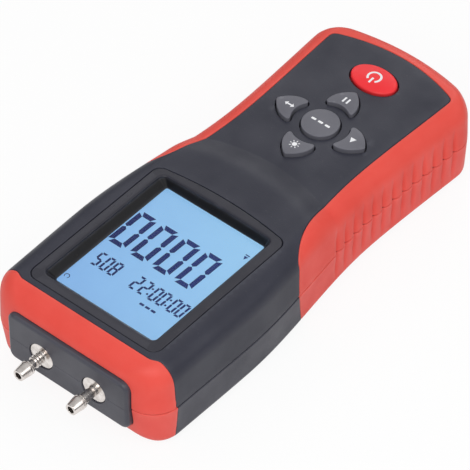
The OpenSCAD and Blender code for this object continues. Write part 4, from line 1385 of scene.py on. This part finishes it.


# The upper and lower copies of the black and of the red are one plastic each: the lower copies are lighter, painted
# light on the walls of the lower half and the battery door.
BLACK = Moulded("case_black", "#33343f", "#2e2f3a", "#50515b", 0.46, grain=2400.0, specular=0.26)
BLACK_LOWER_LIT = Moulded("case_black_lower_lit", "#41414b", "#3c3c46", "#5d5d66", 0.5, grain=2400.0, specular=0.34)
RED = Moulded("grip_red", "#e84e43", "#e1483d", "#f08377", 0.52, grain=1800.0, specular=0.3, wear=0.25)
RED_LOWER_LIT = Moulded("grip_red_lower_lit", "#e9564d", "#e25047", "#f0877c", 0.55, grain=1800.0, specular=0.32, wear=0.25)
# The bezel's deep tint is painted shade on the funnel's walls under the rim.
BEZEL = Moulded(
    "bezel_black", "#2c2c35", "#272730", "#4d4d55", 0.42, grain=2800.0, bump=1.2e-5, specular=0.3, deep="#121215"
)
BLOCK = Moulded("block_black", "#3c3c46", "#33333d", "#5e5e68", 0.44, specular=0.45)
KEY_GREY = Moulded("key_grey", "#62626b", "#5b5b64", "#81818a", 0.5, grain=3200.0)
KEY_RED = Moulded("key_red", "#f5262f", "#ee212a", "#ff5f60", 0.42, grain=3200.0, specular=0.35)
MARK = Moulded("mark_white", "#f2f2f4", "#e6e6ea", "#ffffff", 0.55, grain=4000.0, wear=0.1, dust=0.1)
RUBBER = Moulded("rubber_black", "#26262a", "#202024", "#4a4a50", 0.7, grain=1500.0, specular=0.3)
NICKEL = Metal("nickel", "#ece6e2", "#d3ccc7", 0.24)


class Case:
    """The case's outer skins."""

    def __init__(self) -> None:
        """Lays out both halves."""
        self.shape = CaseShape()
        self.upper = Skin(self.shape, Half.UPPER, 7.0)
        self.lower = Skin(self.shape, Half.LOWER, 4.0)
        self.top_lines = Lines(8.0, 5.2, 6.1, 114.7, 114.5, 0.25, 0.25, 187.25, 185.7, 185.2, -0.1, 12.75)
        self.low_lines = Lines(7.4, 7.9, 6.1, 112.6, 114.4, 0.5, 0.3, 187.4, 184.7, 184.3, 0.0, 11.35)

    def build(self) -> None:
        """Makes the six visible fields, with the case's walls under the red ones."""
        skin = self.upper
        wide, fine = Seams(skin, self.top_lines, 0.36), Seams(skin, self.top_lines, 0.24)
        keys = [left[::-1] for left in Keys.openings()]
        bezel = Bezel.outer(0.25)[::-1]
        top = skin.shell("top_case", [wide.panel_field(0.45), bezel, *keys], 3.0, lips=(0.55, 0.3, 0.25))
        for loop in (wide.grip_field(1.4), wide.cap_field(1.4)):
            skin.shell("top_case wall", [loop], 1.7, lips=(0.05,), spacing=4.0, sunk=1.25, into=top)
        finish_piece(top.build("top_case_black"), BLACK.material(), "case", "case_black", "top_case")
        grip = skin.shell("grip_top", [fine.grip_field(0.3)], 1.2, lips=(0.4,), fluted=True)
        finish_piece(grip.build("grip_top_red"), RED.material(), "case", "soft_red", "grip_top")
        cap = skin.shell("cap_top", [fine.cap_field(0.45)], 1.2, lips=(0.4,))
        finish_piece(cap.build("cap_top_red"), RED.material(), "case", "soft_red", "cap_top")
        # The lower half takes the lighter copies of the black and the red: painted light on its walls.
        skin = self.lower
        wide, fine = Seams(skin, self.low_lines, 0.36), Seams(skin, self.low_lines, 0.24)
        holes = [box_line((-17.7, 17.8 - MID_S), (17.7, 88.2 - MID_S), 2.2)[::-1]]
        for x, s in ((33.4, 168.0), (26.0, 20.0)):
            holes += [ring_line((side * x, s - MID_S), 3.05, 3.05, 40)[::-1] for side in (-1, 1)]
        bottom = skin.shell("bottom_case", [wide.panel_field(0.45), *holes], 3.0, lips=(0.42, 0.25))
        for loop in (wide.grip_field(1.4), wide.cap_field(1.4)):
            skin.shell("bottom_case wall", [loop], 1.7, lips=(0.05,), spacing=4.0, sunk=1.25, into=bottom)
        skin.shell("tongue", [self.tongue()], 1.2, lips=(0.1,), spacing=4.0, sunk=3.1, into=bottom)
        finish_piece(bottom.build("bottom_case_black"), BLACK_LOWER_LIT.material(), "case", "case_black", "bottom_case")
        grip = skin.shell("grip_bottom", [fine.grip_field(0.3)], 1.2, lips=(0.4,), fluted=True)
        finish_piece(grip.build("grip_bottom_red"), RED_LOWER_LIT.material(), "case", "soft_red", "grip_bottom")
        cap = skin.shell("cap_bottom", [fine.cap_field(0.45)], 1.2, lips=(0.4,))
        finish_piece(cap.build("cap_bottom_red"), RED_LOWER_LIT.material(), "case", "soft_red", "cap_bottom")

    def tongue(self) -> Array:
        """Net line of the band behind the parting gap, left open behind the port block."""
        rows = []
        for z in (self.shape.part_z + 1.6, self.shape.part_z - 2.2):
            line = self.lower.level_line(z)
            at = self.lower.lift(line)
            front = (at[:, 1] > 80.0) & (np.abs(at[:, 0]) < 31.5)
            last = int(np.nonzero(front)[0][-1]) + 1
            rows.append(np.roll(line, -last, axis=0)[~np.roll(front, -last)])
        return resampled(np.concatenate([rows[0], rows[1][::-1]]), 1.0, True)


class Bezel:
    """Frame round the window."""

    w = 30.9
    low = WINDOW_S - 31.1 - 3.7 - MID_S
    high = WINDOW_S + 31.1 + 7.2 - MID_S

    @classmethod
    def outer(cls, grow: float) -> Array:
        """Outer edge of the frame, grown by a clearance."""
        return resampled(
            box_line((-cls.w - grow, cls.low - grow), (cls.w + grow, cls.high + grow), 4.0 + grow, 2.2), 0.6, True
        )

    def build(self) -> None:
        """Makes the frame with its sloping inner walls."""
        facets = Facets()
        mid_y = WINDOW_S - MID_S
        mouth = box_line((-26.25, mid_y - 32.0), (26.8, mid_y + 33.65), 2.6, 0.6, 12)
        view = box_line((-23.8, mid_y - 30.75), (23.75, mid_y + 30.75), 0.9, 0.0, 12)
        outer = self.outer(0.0)
        sheet = Level(39.55)
        slab(facets, sheet, [outer, mouth[::-1]], 2.2, roll(0.4), roll(0.95, 6))
        steps = 6
        rings, normals = [], []
        for i in range(steps + 1):
            t = i / steps
            z = 38.6 + (35.2 - 38.6) * t
            line = mouth * (1 - t) + view * t
            rings.append(np.concatenate([line, np.full((len(line), 1), z)], axis=1))
        back = [r + np.concatenate([-left_of(r[:, :2]) * 0.8, np.zeros((len(r), 1))], axis=1) for r in rings]
        ids = [facets.add(r) for r in rings]
        back_ids = [facets.add(r) for r in back]
        way = rings[-1] - rings[0]
        for r in rings:
            ahead = np.roll(r, -1, axis=0) - np.roll(r, 1, axis=0)
            normals.append(unit(np.cross(ahead, way)))
        sign = 1.0 if normals[0][0, 2] > 0 else -1.0
        for i in range(steps):
            facets.strip(ids[i], ids[i + 1], normals[i] * sign, normals[i + 1] * sign, False)
            facets.strip(back_ids[i], back_ids[i + 1], -normals[i] * sign, -normals[i + 1] * sign, True)
        flat = np.tile([0.0, 0.0, 1.0], (len(rings[0]), 1))
        facets.strip(back_ids[0], ids[0], flat, flat, False)
        facets.strip(ids[-1], back_ids[-1], -flat, -flat, False)
        finish_piece(facets.build("bezel_frame"), BEZEL.material(), "case", "case_dark", "bezel")


class Display:
    """Lens, lit plate and segments."""

    centre_y = WINDOW_S - MID_S

    def build(self) -> None:
        """Makes the lens, the plate and what it shows."""
        y = self.centre_y
        lens = Facets()
        slab(lens, Level(35.18), [box_line((-26.2, y - 33.2), (26.2, y + 33.2), 0.8)], 0.66, roll(0.1, 3))
        finish_piece(lens.build("lens"), Glass().material(), "case", "clear_lens", "window")
        plate = Facets()
        slab(plate, Level(34.36), [box_line((-26.2, y - 33.2), (26.2, y + 33.2), 0.8)], 2.4, roll(0.1, 3))
        lit = Lit("display_lit", "#84b2e4", "#9acbee", 0.88, 0.1)
        finish_piece(plate.build("lcd_plate"), lit.material(), "case", "display_blue", "lcd_cell")
        ink = Facets()
        for x in (-17.0, -6.3, 4.4, 15.1):
            self.digit(ink, "0", x, 130.0, 8.3, 19.4, 2.15, 0.4)
        for i, x in enumerate((-22.9, -19.2, -14.1, -10.4, -5.4, -1.4)):
            self.digit(ink, "000022"[i], x, 155.0, 3.1, 7.4, 0.88, 0.3)
        for x in (-15.1, -6.4):
            for s in (157.0, 160.2):
                self.patch(ink, box_line((x - 0.05, s - MID_S), (x + 0.75, s + 0.8 - MID_S), 0.1, 0.0, 3))
        for i, x in enumerate((9.3, 13.2, 17.2)):
            self.digit(ink, "805"[i], x, 155.0, 3.1, 7.4, 0.88, 0.3)
        for x in (-14.4, -11.7, -9.0):
            self.patch(ink, box_line((x, 165.2 - MID_S), (x + 2.0, 166.2 - MID_S), 0.2, 0.0, 3))
        self.patch(ink, np.array([[-22.3, 18.55], [-20.6, 18.55], [-21.45, 20.25]]))
        self.patch(ink, box_line((-22.4, 17.55), (-20.5, 18.05), 0.1, 0.0, 3))
        ring = np.radians(np.linspace(40.0, 320.0, 24))
        circle = np.stack([np.sin(ring), np.cos(ring)], axis=1)
        icon = np.concatenate([circle * 1.15, circle[::-1] * 0.85]) + [22.3, 172.5 - MID_S]
        self.patch(ink, icon)
        dark = Lit("segments_dark", "#0c1550", "#1c3478", 0.8, 0.5)
        finish_piece(ink.build("lcd_segments"), dark.material(), "case", "")

    def patch(self, facets: Facets, line: Array) -> None:
        """Adds one dark segment over the plate."""
        if np.sum(line[:, 0] * np.roll(line[:, 1], -1) - line[:, 1] * np.roll(line[:, 0], -1)) < 0:
            line = line[::-1]
        slab(facets, Level(34.42), [line], 0.05, [(0.0, 0.0, 0.0), (0.01, 0.0, 90.0)])

    def digit(self, facets: Facets, sign: str, x: float, s: float, w: float, h: float, t: float, slant: float) -> None:
        """Adds a seven-segment digit.

        Args:
            facets: Where the segments go.
            sign: The digit.
            x: Left edge.
            s: Station of its foot.
            w: Width.
            h: Height.
            t: Stroke.
            slant: How far the top leans to the right.
        """
        lit = {"0": "abcdef", "2": "abged", "5": "afgcd", "8": "abcdefg"}[sign]
        g, c, m = t * 0.05, t * 0.5, h / 2
        shapes = {
            "a": [(c + g, h), (w - c - g, h), (w - t - g, h - t), (t + g, h - t)],
            "d": [(c + g, 0), (t + g, t), (w - t - g, t), (w - c - g, 0)],
            "f": [(0, h - c - g), (t, h - t - g), (t, m + c + g), (c, m + g), (0, m + c * 0.6 + g)],
            "e": [(0, c + g), (0, m - c * 0.6 - g), (c, m - g), (t, m - c - g), (t, t + g)],
            "g": [(c + g, m), (t + g, m + c), (w - t - g, m + c), (w - c - g, m), (w - t - g, m - c), (t + g, m - c)],
        }
        shapes["b"] = [(w - px, py) for px, py in shapes["f"]]
        shapes["c"] = [(w - px, py) for px, py in shapes["e"]]
        for name in lit:
            line = np.array([[x + px + slant * py / h, s + py - MID_S] for px, py in shapes[name]])
            self.patch(facets, line)


class Keys:
    """The six keys with their marks."""

    hub_y = 54.4 - MID_S
    power_y = 22.2 - MID_S
    turns = {"upper": 0.0, "left": 90.0, "lower": 180.0, "right": 270.0}

    @staticmethod
    def fan(grow: float) -> Array:
        """Outline of a fan key before its turn, with its tip along +Y."""
        root_r, root_y, root_angle = 9.0, 12.2, 32.7
        bulge_x, bulge_share, r, reach = 5.5, 0.575, 1.0, 21.4
        root, centre, tip = root_r + r, root_y - root_r, reach - r
        a = np.radians(np.linspace(0.0, root_angle, 12))
        low = np.stack([root * np.sin(a), centre + root * np.cos(a)], axis=1)
        x, y = low[-1]
        bulge_y = y + (tip - y) * bulge_share
        t = np.linspace(0.0, 1.0, 20)[1:]
        p, q = (1 - t) ** 2, 2 * t * (1 - t)
        side = np.stack([p * x + q * bulge_x, p * y + q * bulge_y + t * t * tip], axis=1)
        half = np.concatenate([low, side])
        line = resampled(np.concatenate([half, (half * [-1.0, 1.0])[::-1][1:-1]]), 0.12, True)
        return softened(Keys.grown(line, r + grow), 3)

    @staticmethod
    def grown(line: Array, by: float) -> Array:
        """A closed line pushed out to a distance, with its corners rounded."""
        area = np.sum(line[:, 0] * np.roll(line[:, 1], -1) - np.roll(line[:, 0], -1) * line[:, 1])
        ahead = unit(np.roll(line, -1, axis=0) - line) * math.copysign(1.0, area)
        out = np.stack([ahead[:, 1], -ahead[:, 0]], axis=1)
        before = np.roll(out, 1, axis=0)
        rays = []
        for p, a, b in zip(line, before, out):
            turn = math.acos(float(np.clip(a @ b, -1.0, 1.0)))
            for i in range(1 + int(turn / 0.2)):
                share = i / max(1, int(turn / 0.2))
                rays.append(p + unit(a * (1 - share) + b * share) * by)
        found = np.array(rays)
        gap = np.array([np.min(np.linalg.norm(line - f, axis=1)) for f in found])
        return resampled(found[gap > by - 0.02], 0.3, True)

    @classmethod
    def outline(cls, key: str, grow: float) -> Array:
        """A key's outline in place, grown by a clearance, counter-clockwise."""
        if key == "hub":
            return ring_line((0.0, cls.hub_y), 7.55 + grow, 7.55 + grow, 96)
        if key == "power":
            return ring_line((0.0, cls.power_y), 10.25 + grow, 10.25 * 0.68 + grow, 112)
        a = math.radians(cls.turns[key])
        line = cls.fan(grow)
        turned = line @ np.array([[math.cos(a), math.sin(a)], [-math.sin(a), math.cos(a)]])
        turned = turned + [0.0, cls.hub_y]
        area = np.sum(turned[:, 0] * np.roll(turned[:, 1], -1) - turned[:, 1] * np.roll(turned[:, 0], -1))
        return turned if area > 0 else turned[::-1]

    @classmethod
    def openings(cls) -> list[Array]:
        """The key panel's openings."""
        return [cls.outline(key, 0.42) for key in ("hub", "power", "upper", "left", "lower", "right")]

    def sheet(self, key: str) -> Level:
        """The key's domed top."""
        line = self.outline(key, 0.0)
        low, high = line.min(axis=0), line.max(axis=0)
        centre = (low + high) / 2
        half = (high - low) / 2
        dome = {"hub": 0.25, "power": 0.65}.get(key, 0.15)
        return Level(38.9, dome, (centre[0], centre[1]), (half[0], half[1]))

    def build(self) -> None:
        """Makes every key with its flange and its mark."""
        for key in ("power", "hub", "upper", "left", "lower", "right"):
            facets = Facets()
            sheet = self.sheet(key)
            line = self.outline(key, 0.0)
            slab(facets, sheet, [line], 4.7, roll(0.9 if key == "power" else 0.4, 6), spacing=0.8)
            slab(facets, Level(34.1), [self.outline(key, 0.7)], 2.1, roll(0.2))
            finish = KEY_RED if key == "power" else KEY_GREY
            slot = "key_red" if key == "power" else "key_grey"
            piece = finish_piece(facets.build(f"key_{key}_cap"), finish.material(), f"key_{key}", slot, f"key_{key}")
            mark = Facets()
            raised = Level(sheet.z + 0.03, sheet.dome, sheet.centre, sheet.span)
            for shape in self.marks(key):
                slab(mark, raised, shape, 0.1, roll(0.02, 3), spacing=0.5)
            label = mark.build(f"key_{key}_mark")
            label.data.materials.append(MARK.material())
            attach(label, f"key_{key}")
            del piece

    def marks(self, key: str) -> list[list[Array]]:
        """Generic signs, each a list of closed lines."""
        cx, cy = self.sheet(key).centre
        if key == "power":
            a = np.radians(np.linspace(38.0, 322.0, 40))
            out, inn = 3.1, 2.2
            arc = np.concatenate(
                [np.stack([out * np.sin(a), out * np.cos(a)], 1), np.stack([inn * np.sin(a), inn * np.cos(a)], 1)[::-1]]
            )[::-1]
            bar = box_line((-0.45, 0.6), (0.45, 3.6), 0.2, 0.0, 4)
            return [[arc + [cx, cy - 0.2]], [bar + [cx, cy - 0.2]]]
        if key == "hub":
            return [[box_line((cx + x - 1.1, cy - 0.5), (cx + x + 1.1, cy + 0.5), 0.3, 0.0, 4)] for x in (-3.3, 0.0, 3.3)]
        if key == "upper":
            cy -= 0.6
            shapes = [[ring_line((cx, cy), 1.0, 1.0, 24)]]
            for i in range(8):
                a = math.radians(45.0 * i)
                ray = box_line((1.35, -0.16), (2.1, 0.16), 0.08, 0.0, 3)
                spin = np.array([[math.cos(a), math.sin(a)], [-math.sin(a), math.cos(a)]])
                shapes.append([ray @ spin + [cx, cy]])
            return shapes
        if key == "lower":
            cy += 0.6
            return [[box_line((cx + x - 0.4, cy - 1.4), (cx + x + 0.4, cy + 1.4), 0.2, 0.0, 4)] for x in (-0.9, 0.9)]
        if key == "right":
            cx -= 0.8
            line = np.array([[-2.2, 0], [-1.0, -1.1], [-1.0, -0.35], [1.0, -0.35], [1.0, -1.1], [2.2, 0], [1.0, 1.1], [1.0, 0.35], [-1.0, 0.35], [-1.0, 1.1]])
            return [[line + [cx, cy]]]
        cx += 0.8
        return [[np.array([[-1.3, -1.2], [1.3, -1.2], [0.0, 1.3]]) + [cx, cy]]]


class Ports:
    """Port block and the two hose barbs."""

    pitch = 25.4
    z = 18.9
    front = 198.0 - MID_S

    def build(self) -> None:
        """Makes the block and the barbs."""
        facets = Facets()
        w, h = 29.0, 12.6
        outer = resampled(box_line((-w, self.z - h + 2.1), (w, self.z + h), 3.4), 0.7, True)
        holes = [ring_line((side * self.pitch / 2, self.z), 5.72, 5.72, 64)[::-1] for side in (-1, 1)]
        slab(facets, Level(self.front, front=True), [outer, *holes], 9.8, roll(1.5, 8), roll(0.15, 3))
        for low, high in ((-27.6, -18.9), (-6.4, 6.4), (18.9, 27.6)):
            mark = box_line((low, self.z - 0.08), (high, self.z + 0.08), 0.05, 0.0, 3)
            slab(facets, Level(self.front + 0.06, front=True), [mark], 0.3, [(0.0, 0.03, 30.0), (0.03, 0.0, 90.0)])
        discs = [ring_line((side * self.pitch / 2, self.z), 5.9, 5.9, 48) for side in (-1, 1)]
        holes = [ring_line((side * self.pitch / 2, self.z), 3.04, 3.04, 32)[::-1] for side in (-1, 1)]
        for disc, hole in zip(discs, holes):
            slab(facets, Level(self.front - 2.35, front=True), [disc, hole], 7.0, roll(0.05, 3))
        finish_piece(facets.build("port_block_black"), BLOCK.material(), "case", "block_black", "port_block")
        for side, name, rings in ((-1, "barb_left", 0), (1, "barb_right", 3)):
            piece = Facets()
            lathe(piece, self.profile(rings), side * self.pitch / 2, self.z)
            finish_piece(piece.build(f"{name}_nickel"), NICKEL.material(), "case", "nickel", name)

    def profile(self, rings: int) -> list[Pair]:
        """Section of a barb from its inner end, over its outside to the tip and back through the bore."""
        face = 198.0 - 0.5 - MID_S
        tip = 196.0 + 14.2 - MID_S
        root = 196.0 - 12.4 - MID_S
        land = tip - 5.6
        line = [(1.45, root - 8.0), (1.9, root - 8.0), (2.0, root - 7.9), (2.0, root), (3.0, root), (3.0, face - 1.0)]
        line += [(5.4, face - 1.0), (5.55, face - 0.85), (5.55, face - 0.18), (5.37, face), (2.3, face)]
        neck = 1.8 if rings else 2.05
        line += [(neck + 0.15, face + 0.35), (neck, face + 1.0)]
        for i in range(1, rings + 1):
            y = face + 1.25 * i
            line += [(1.8, y), (2.25, y + 0.05), (2.4, y + 0.2), (2.4, y + 0.4), (2.25, y + 0.55), (1.8, y + 0.6)]
        line += [(neck, land - 0.9), (2.35, land - 0.6), (2.8, land - 0.35), (2.95, land - 0.1), (2.95, land + 0.35)]
        line += [(2.75, land + 0.5), (2.75, land + 0.65), (2.95, land + 0.8), (2.95, land + 1.2)]
        line += [(2.35, tip - 0.15), (2.2, tip), (1.6, tip), (1.45, tip - 0.15)]
        return line


class Under:
    """Battery door in the back."""

    def build(self) -> None:
        """Makes the door with the ring round its screw hole."""
        facets = Facets()
        low, high = 18.0 - MID_S, 88.0 - MID_S
        outer = resampled(box_line((-17.5, low), (17.5, high), 2.0), 0.8, True)
        y = 83.5 - MID_S
        hole = ring_line((0.0, y), 3.0, 3.0, 40)[::-1]
        sheet = Level(0.8, sign=-1.0)
        slab(facets, sheet, [outer, hole], 2.0, roll(0.3), roll(0.3))
        slab(facets, Level(3.0, sign=-1.0), [ring_line((0.0, y), 4.4, 4.4, 40), ring_line((0.0, y), 1.54, 1.54, 24)[::-1]], 1.2, roll(0.1, 3))
        finish_piece(facets.build("battery_door_panel"), BLACK_LOWER_LIT.material(), "battery_door", "case_black", "battery_door")


class Inside:
    """Materials of the nodes that keep their own solids."""

    def build(self) -> None:
        """Dresses every node that still shows."""
        looks = {
            "barb_nuts": Metal("brass", "#cdb573", "#a88e4c", 0.3),
            "barb_seals": RUBBER,
            "backlight": Moulded("light_guide", "#eef4fa", "#e2ebf3", "#ffffff", 0.3),
            "lcd_frame": Moulded("frame_white", "#e8e8e4", "#deded9", "#ffffff", 0.45),
            "contact_strips": Moulded("strip_pink", "#d58f98", "#c98089", "#e6b0b6", 0.6),
            "key_mat": Moulded("mat_grey", "#a9aab0", "#9d9ea5", "#c3c4ca", 0.65),
            "main_board": Moulded("board_green", "#1f6b45", "#1a5f3c", "#4d9a74", 0.4),
            "board_pads": Metal("gold", "#d9b45a", "#b88f38", 0.25),
            "board_chips": Moulded("chip_black", "#2a2a2d", "#242427", "#48484c", 0.5),
            "board_screws": Metal("zinc", "#c4c6ca", "#989a9f", 0.3),
            "buzzer": Moulded("buzzer_black", "#2b2b2f", "#242428", "#4c4c50", 0.45),
            "pressure_sensor": Moulded("sensor_cream", "#e6e2d8", "#dad5c8", "#f6f3ec", 0.5),
            "tube_left": Moulded("hose_milky", "#dfe6e4", "#d2dbd9", "#ffffff", 0.35),
            "tube_right": Moulded("hose_milky", "#dfe6e4", "#d2dbd9", "#ffffff", 0.35),
            "battery": Moulded("battery_can", "#5f6b78", "#56616d", "#8a949f", 0.35),
            "battery_clip": RUBBER,
            "battery_leads": Moulded("lead_red", "#b02020", "#a31c1c", "#d04a4a", 0.4),
            "door_screw": Metal("zinc", "#c4c6ca", "#989a9f", 0.3),
            "case_screws": Metal("zinc", "#c4c6ca", "#989a9f", 0.3),
            "feet": RUBBER,
        }
        for node, look in looks.items():
            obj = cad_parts[node]
            material = look.material()
            if not obj.data.materials:
                obj.data.materials.append(material)
            for i in range(len(obj.material_slots)):
                obj.material_slots[i].material = material
            LOG.info("node %s dressed with %s", node, material.name)


@dataclass
class Studio:
    """Floor, lights and camera."""

    horizon: float = 0.1
    zenith: float = 0.63
    key_power: float = 5.8
    back_power: float = 2.0
    side_power: float = 2.2

    def build(self) -> None:
        """Sets the stage."""
        scene = bpy.context.scene
        scene.view_settings.view_transform = "Standard"
        self.floor()
        self.world(scene)
        self.lamp("key_lamp", (-0.3, 0.72, 0.78), 0.7, self.key_power)
        self.lamp("back_lamp", (0.52, -0.85, 0.58), 0.5, self.back_power)
        self.lamp("side_lamp", (-0.8, -0.2, 0.7), 0.7, self.side_power)
        camera = bpy.data.cameras.new("camera")
        camera.lens = 291.06
        camera.sensor_width = 36.0
        camera.clip_start = 0.05
        view = bpy.data.objects.new("camera", camera)
        scene.collection.objects.link(view)
        target = Vector((-10.964, 12.633, 34.461)) * MM
        azimuth, elevation = math.radians(220.434), math.radians(45.809)
        back = Vector((math.sin(azimuth) * math.cos(elevation), -math.cos(azimuth) * math.cos(elevation), math.sin(elevation)))
        view.location = target + back * 1.3972
        turn = Quaternion(back, math.radians(-0.156))
        view.rotation_euler = (turn @ (-back).to_track_quat("-Z", "Y")).to_euler()
        scene.camera = view

    @staticmethod
    def lamp(name: str, place: tuple[float, float, float], size: float, power: float) -> None:
        """Adds a soft square lamp that faces the object."""
        data = bpy.data.lights.new(name, "AREA")
        data.size = size
        data.energy = power
        obj = bpy.data.objects.new(name, data)
        bpy.context.scene.collection.objects.link(obj)
        obj.location = place
        obj.rotation_euler = (Vector((0, 0, 0.02)) - Vector(place)).to_track_quat("-Z", "Y").to_euler()

    @staticmethod
    def seen(w: Wiring) -> Socket:
        """One for camera, glossy and transmission rays."""
        path = w.add("ShaderNodeLightPath")
        both = w.math("MAXIMUM", path.outputs["Is Camera Ray"], path.outputs["Is Glossy Ray"])
        return w.math("MAXIMUM", both, path.outputs["Is Transmission Ray"])

    def floor(self) -> None:
        """Pale floor that shows white to the camera and keeps a faint shadow."""
        mesh = bpy.data.meshes.new("floor")
        r = 6.0
        mesh.from_pydata([(-r, -r, 0), (r, -r, 0), (r, r, 0), (-r, r, 0)], [], [(0, 1, 2, 3)])
        obj = bpy.data.objects.new("floor", mesh)
        bpy.context.scene.collection.objects.link(obj)
        mat = bpy.data.materials.new("floor_pale")
        mat.use_nodes = True
        w = Wiring(mat.node_tree)
        w.tree.nodes.remove(w.tree.nodes["Principled BSDF"])
        diffuse = w.add("ShaderNodeBsdfDiffuse")
        diffuse.inputs["Color"].default_value = (0.9, 0.9, 0.9, 1.0)
        glow = w.add("ShaderNodeEmission")
        mix = w.add("ShaderNodeMixShader")
        w.link(w.math("MULTIPLY", self.seen(w), 0.9), mix.inputs[0])
        w.link(diffuse.outputs[0], mix.inputs[1])
        w.link(glow.outputs[0], mix.inputs[2])
        w.link(mix.outputs[0], w.tree.nodes["Material Output"].inputs[0])
        mesh.materials.append(mat)

    def world(self, scene: bpy.types.Scene) -> None:
        """White world, dimmer as light than as background."""
        world = bpy.data.worlds.new("studio")
        world.use_nodes = True
        scene.world = world
        w = Wiring(world.node_tree)
        back = w.tree.nodes["Background"]
        back.inputs["Color"].default_value = (1.0, 1.0, 1.0, 1.0)
        way = w.add("ShaderNodeTexCoord")
        split = w.add("ShaderNodeSeparateXYZ")
        w.link(way.outputs["Generated"], split.inputs[0])
        sky = w.add("ShaderNodeMapRange", interpolation_type="SMOOTHSTEP")
        sky.inputs["From Min"].default_value = 0.1
        sky.inputs["From Max"].default_value = 0.8
        sky.inputs["To Min"].default_value = self.horizon
        sky.inputs["To Max"].default_value = self.zenith
        w.link(split.outputs["Z"], sky.inputs["Value"])
        path = w.add("ShaderNodeLightPath")
        w.link(w.math("MAXIMUM", path.outputs["Is Camera Ray"], sky.outputs[0]), back.inputs["Strength"])


def main() -> None:
    """Builds the manometer from its sub-assemblies."""
    logging.basicConfig(level=logging.INFO, format="%(message)s")
    for make in (make_grain_group, make_wear_group, make_dust_group, make_brush_group):
        make()
    for part in (Case(), Bezel(), Display(), Keys(), Ports(), Under(), Inside(), Studio()):
        part.build()
        LOG.info("%s built", type(part).__name__)


if __name__ == "__main__":
    main()
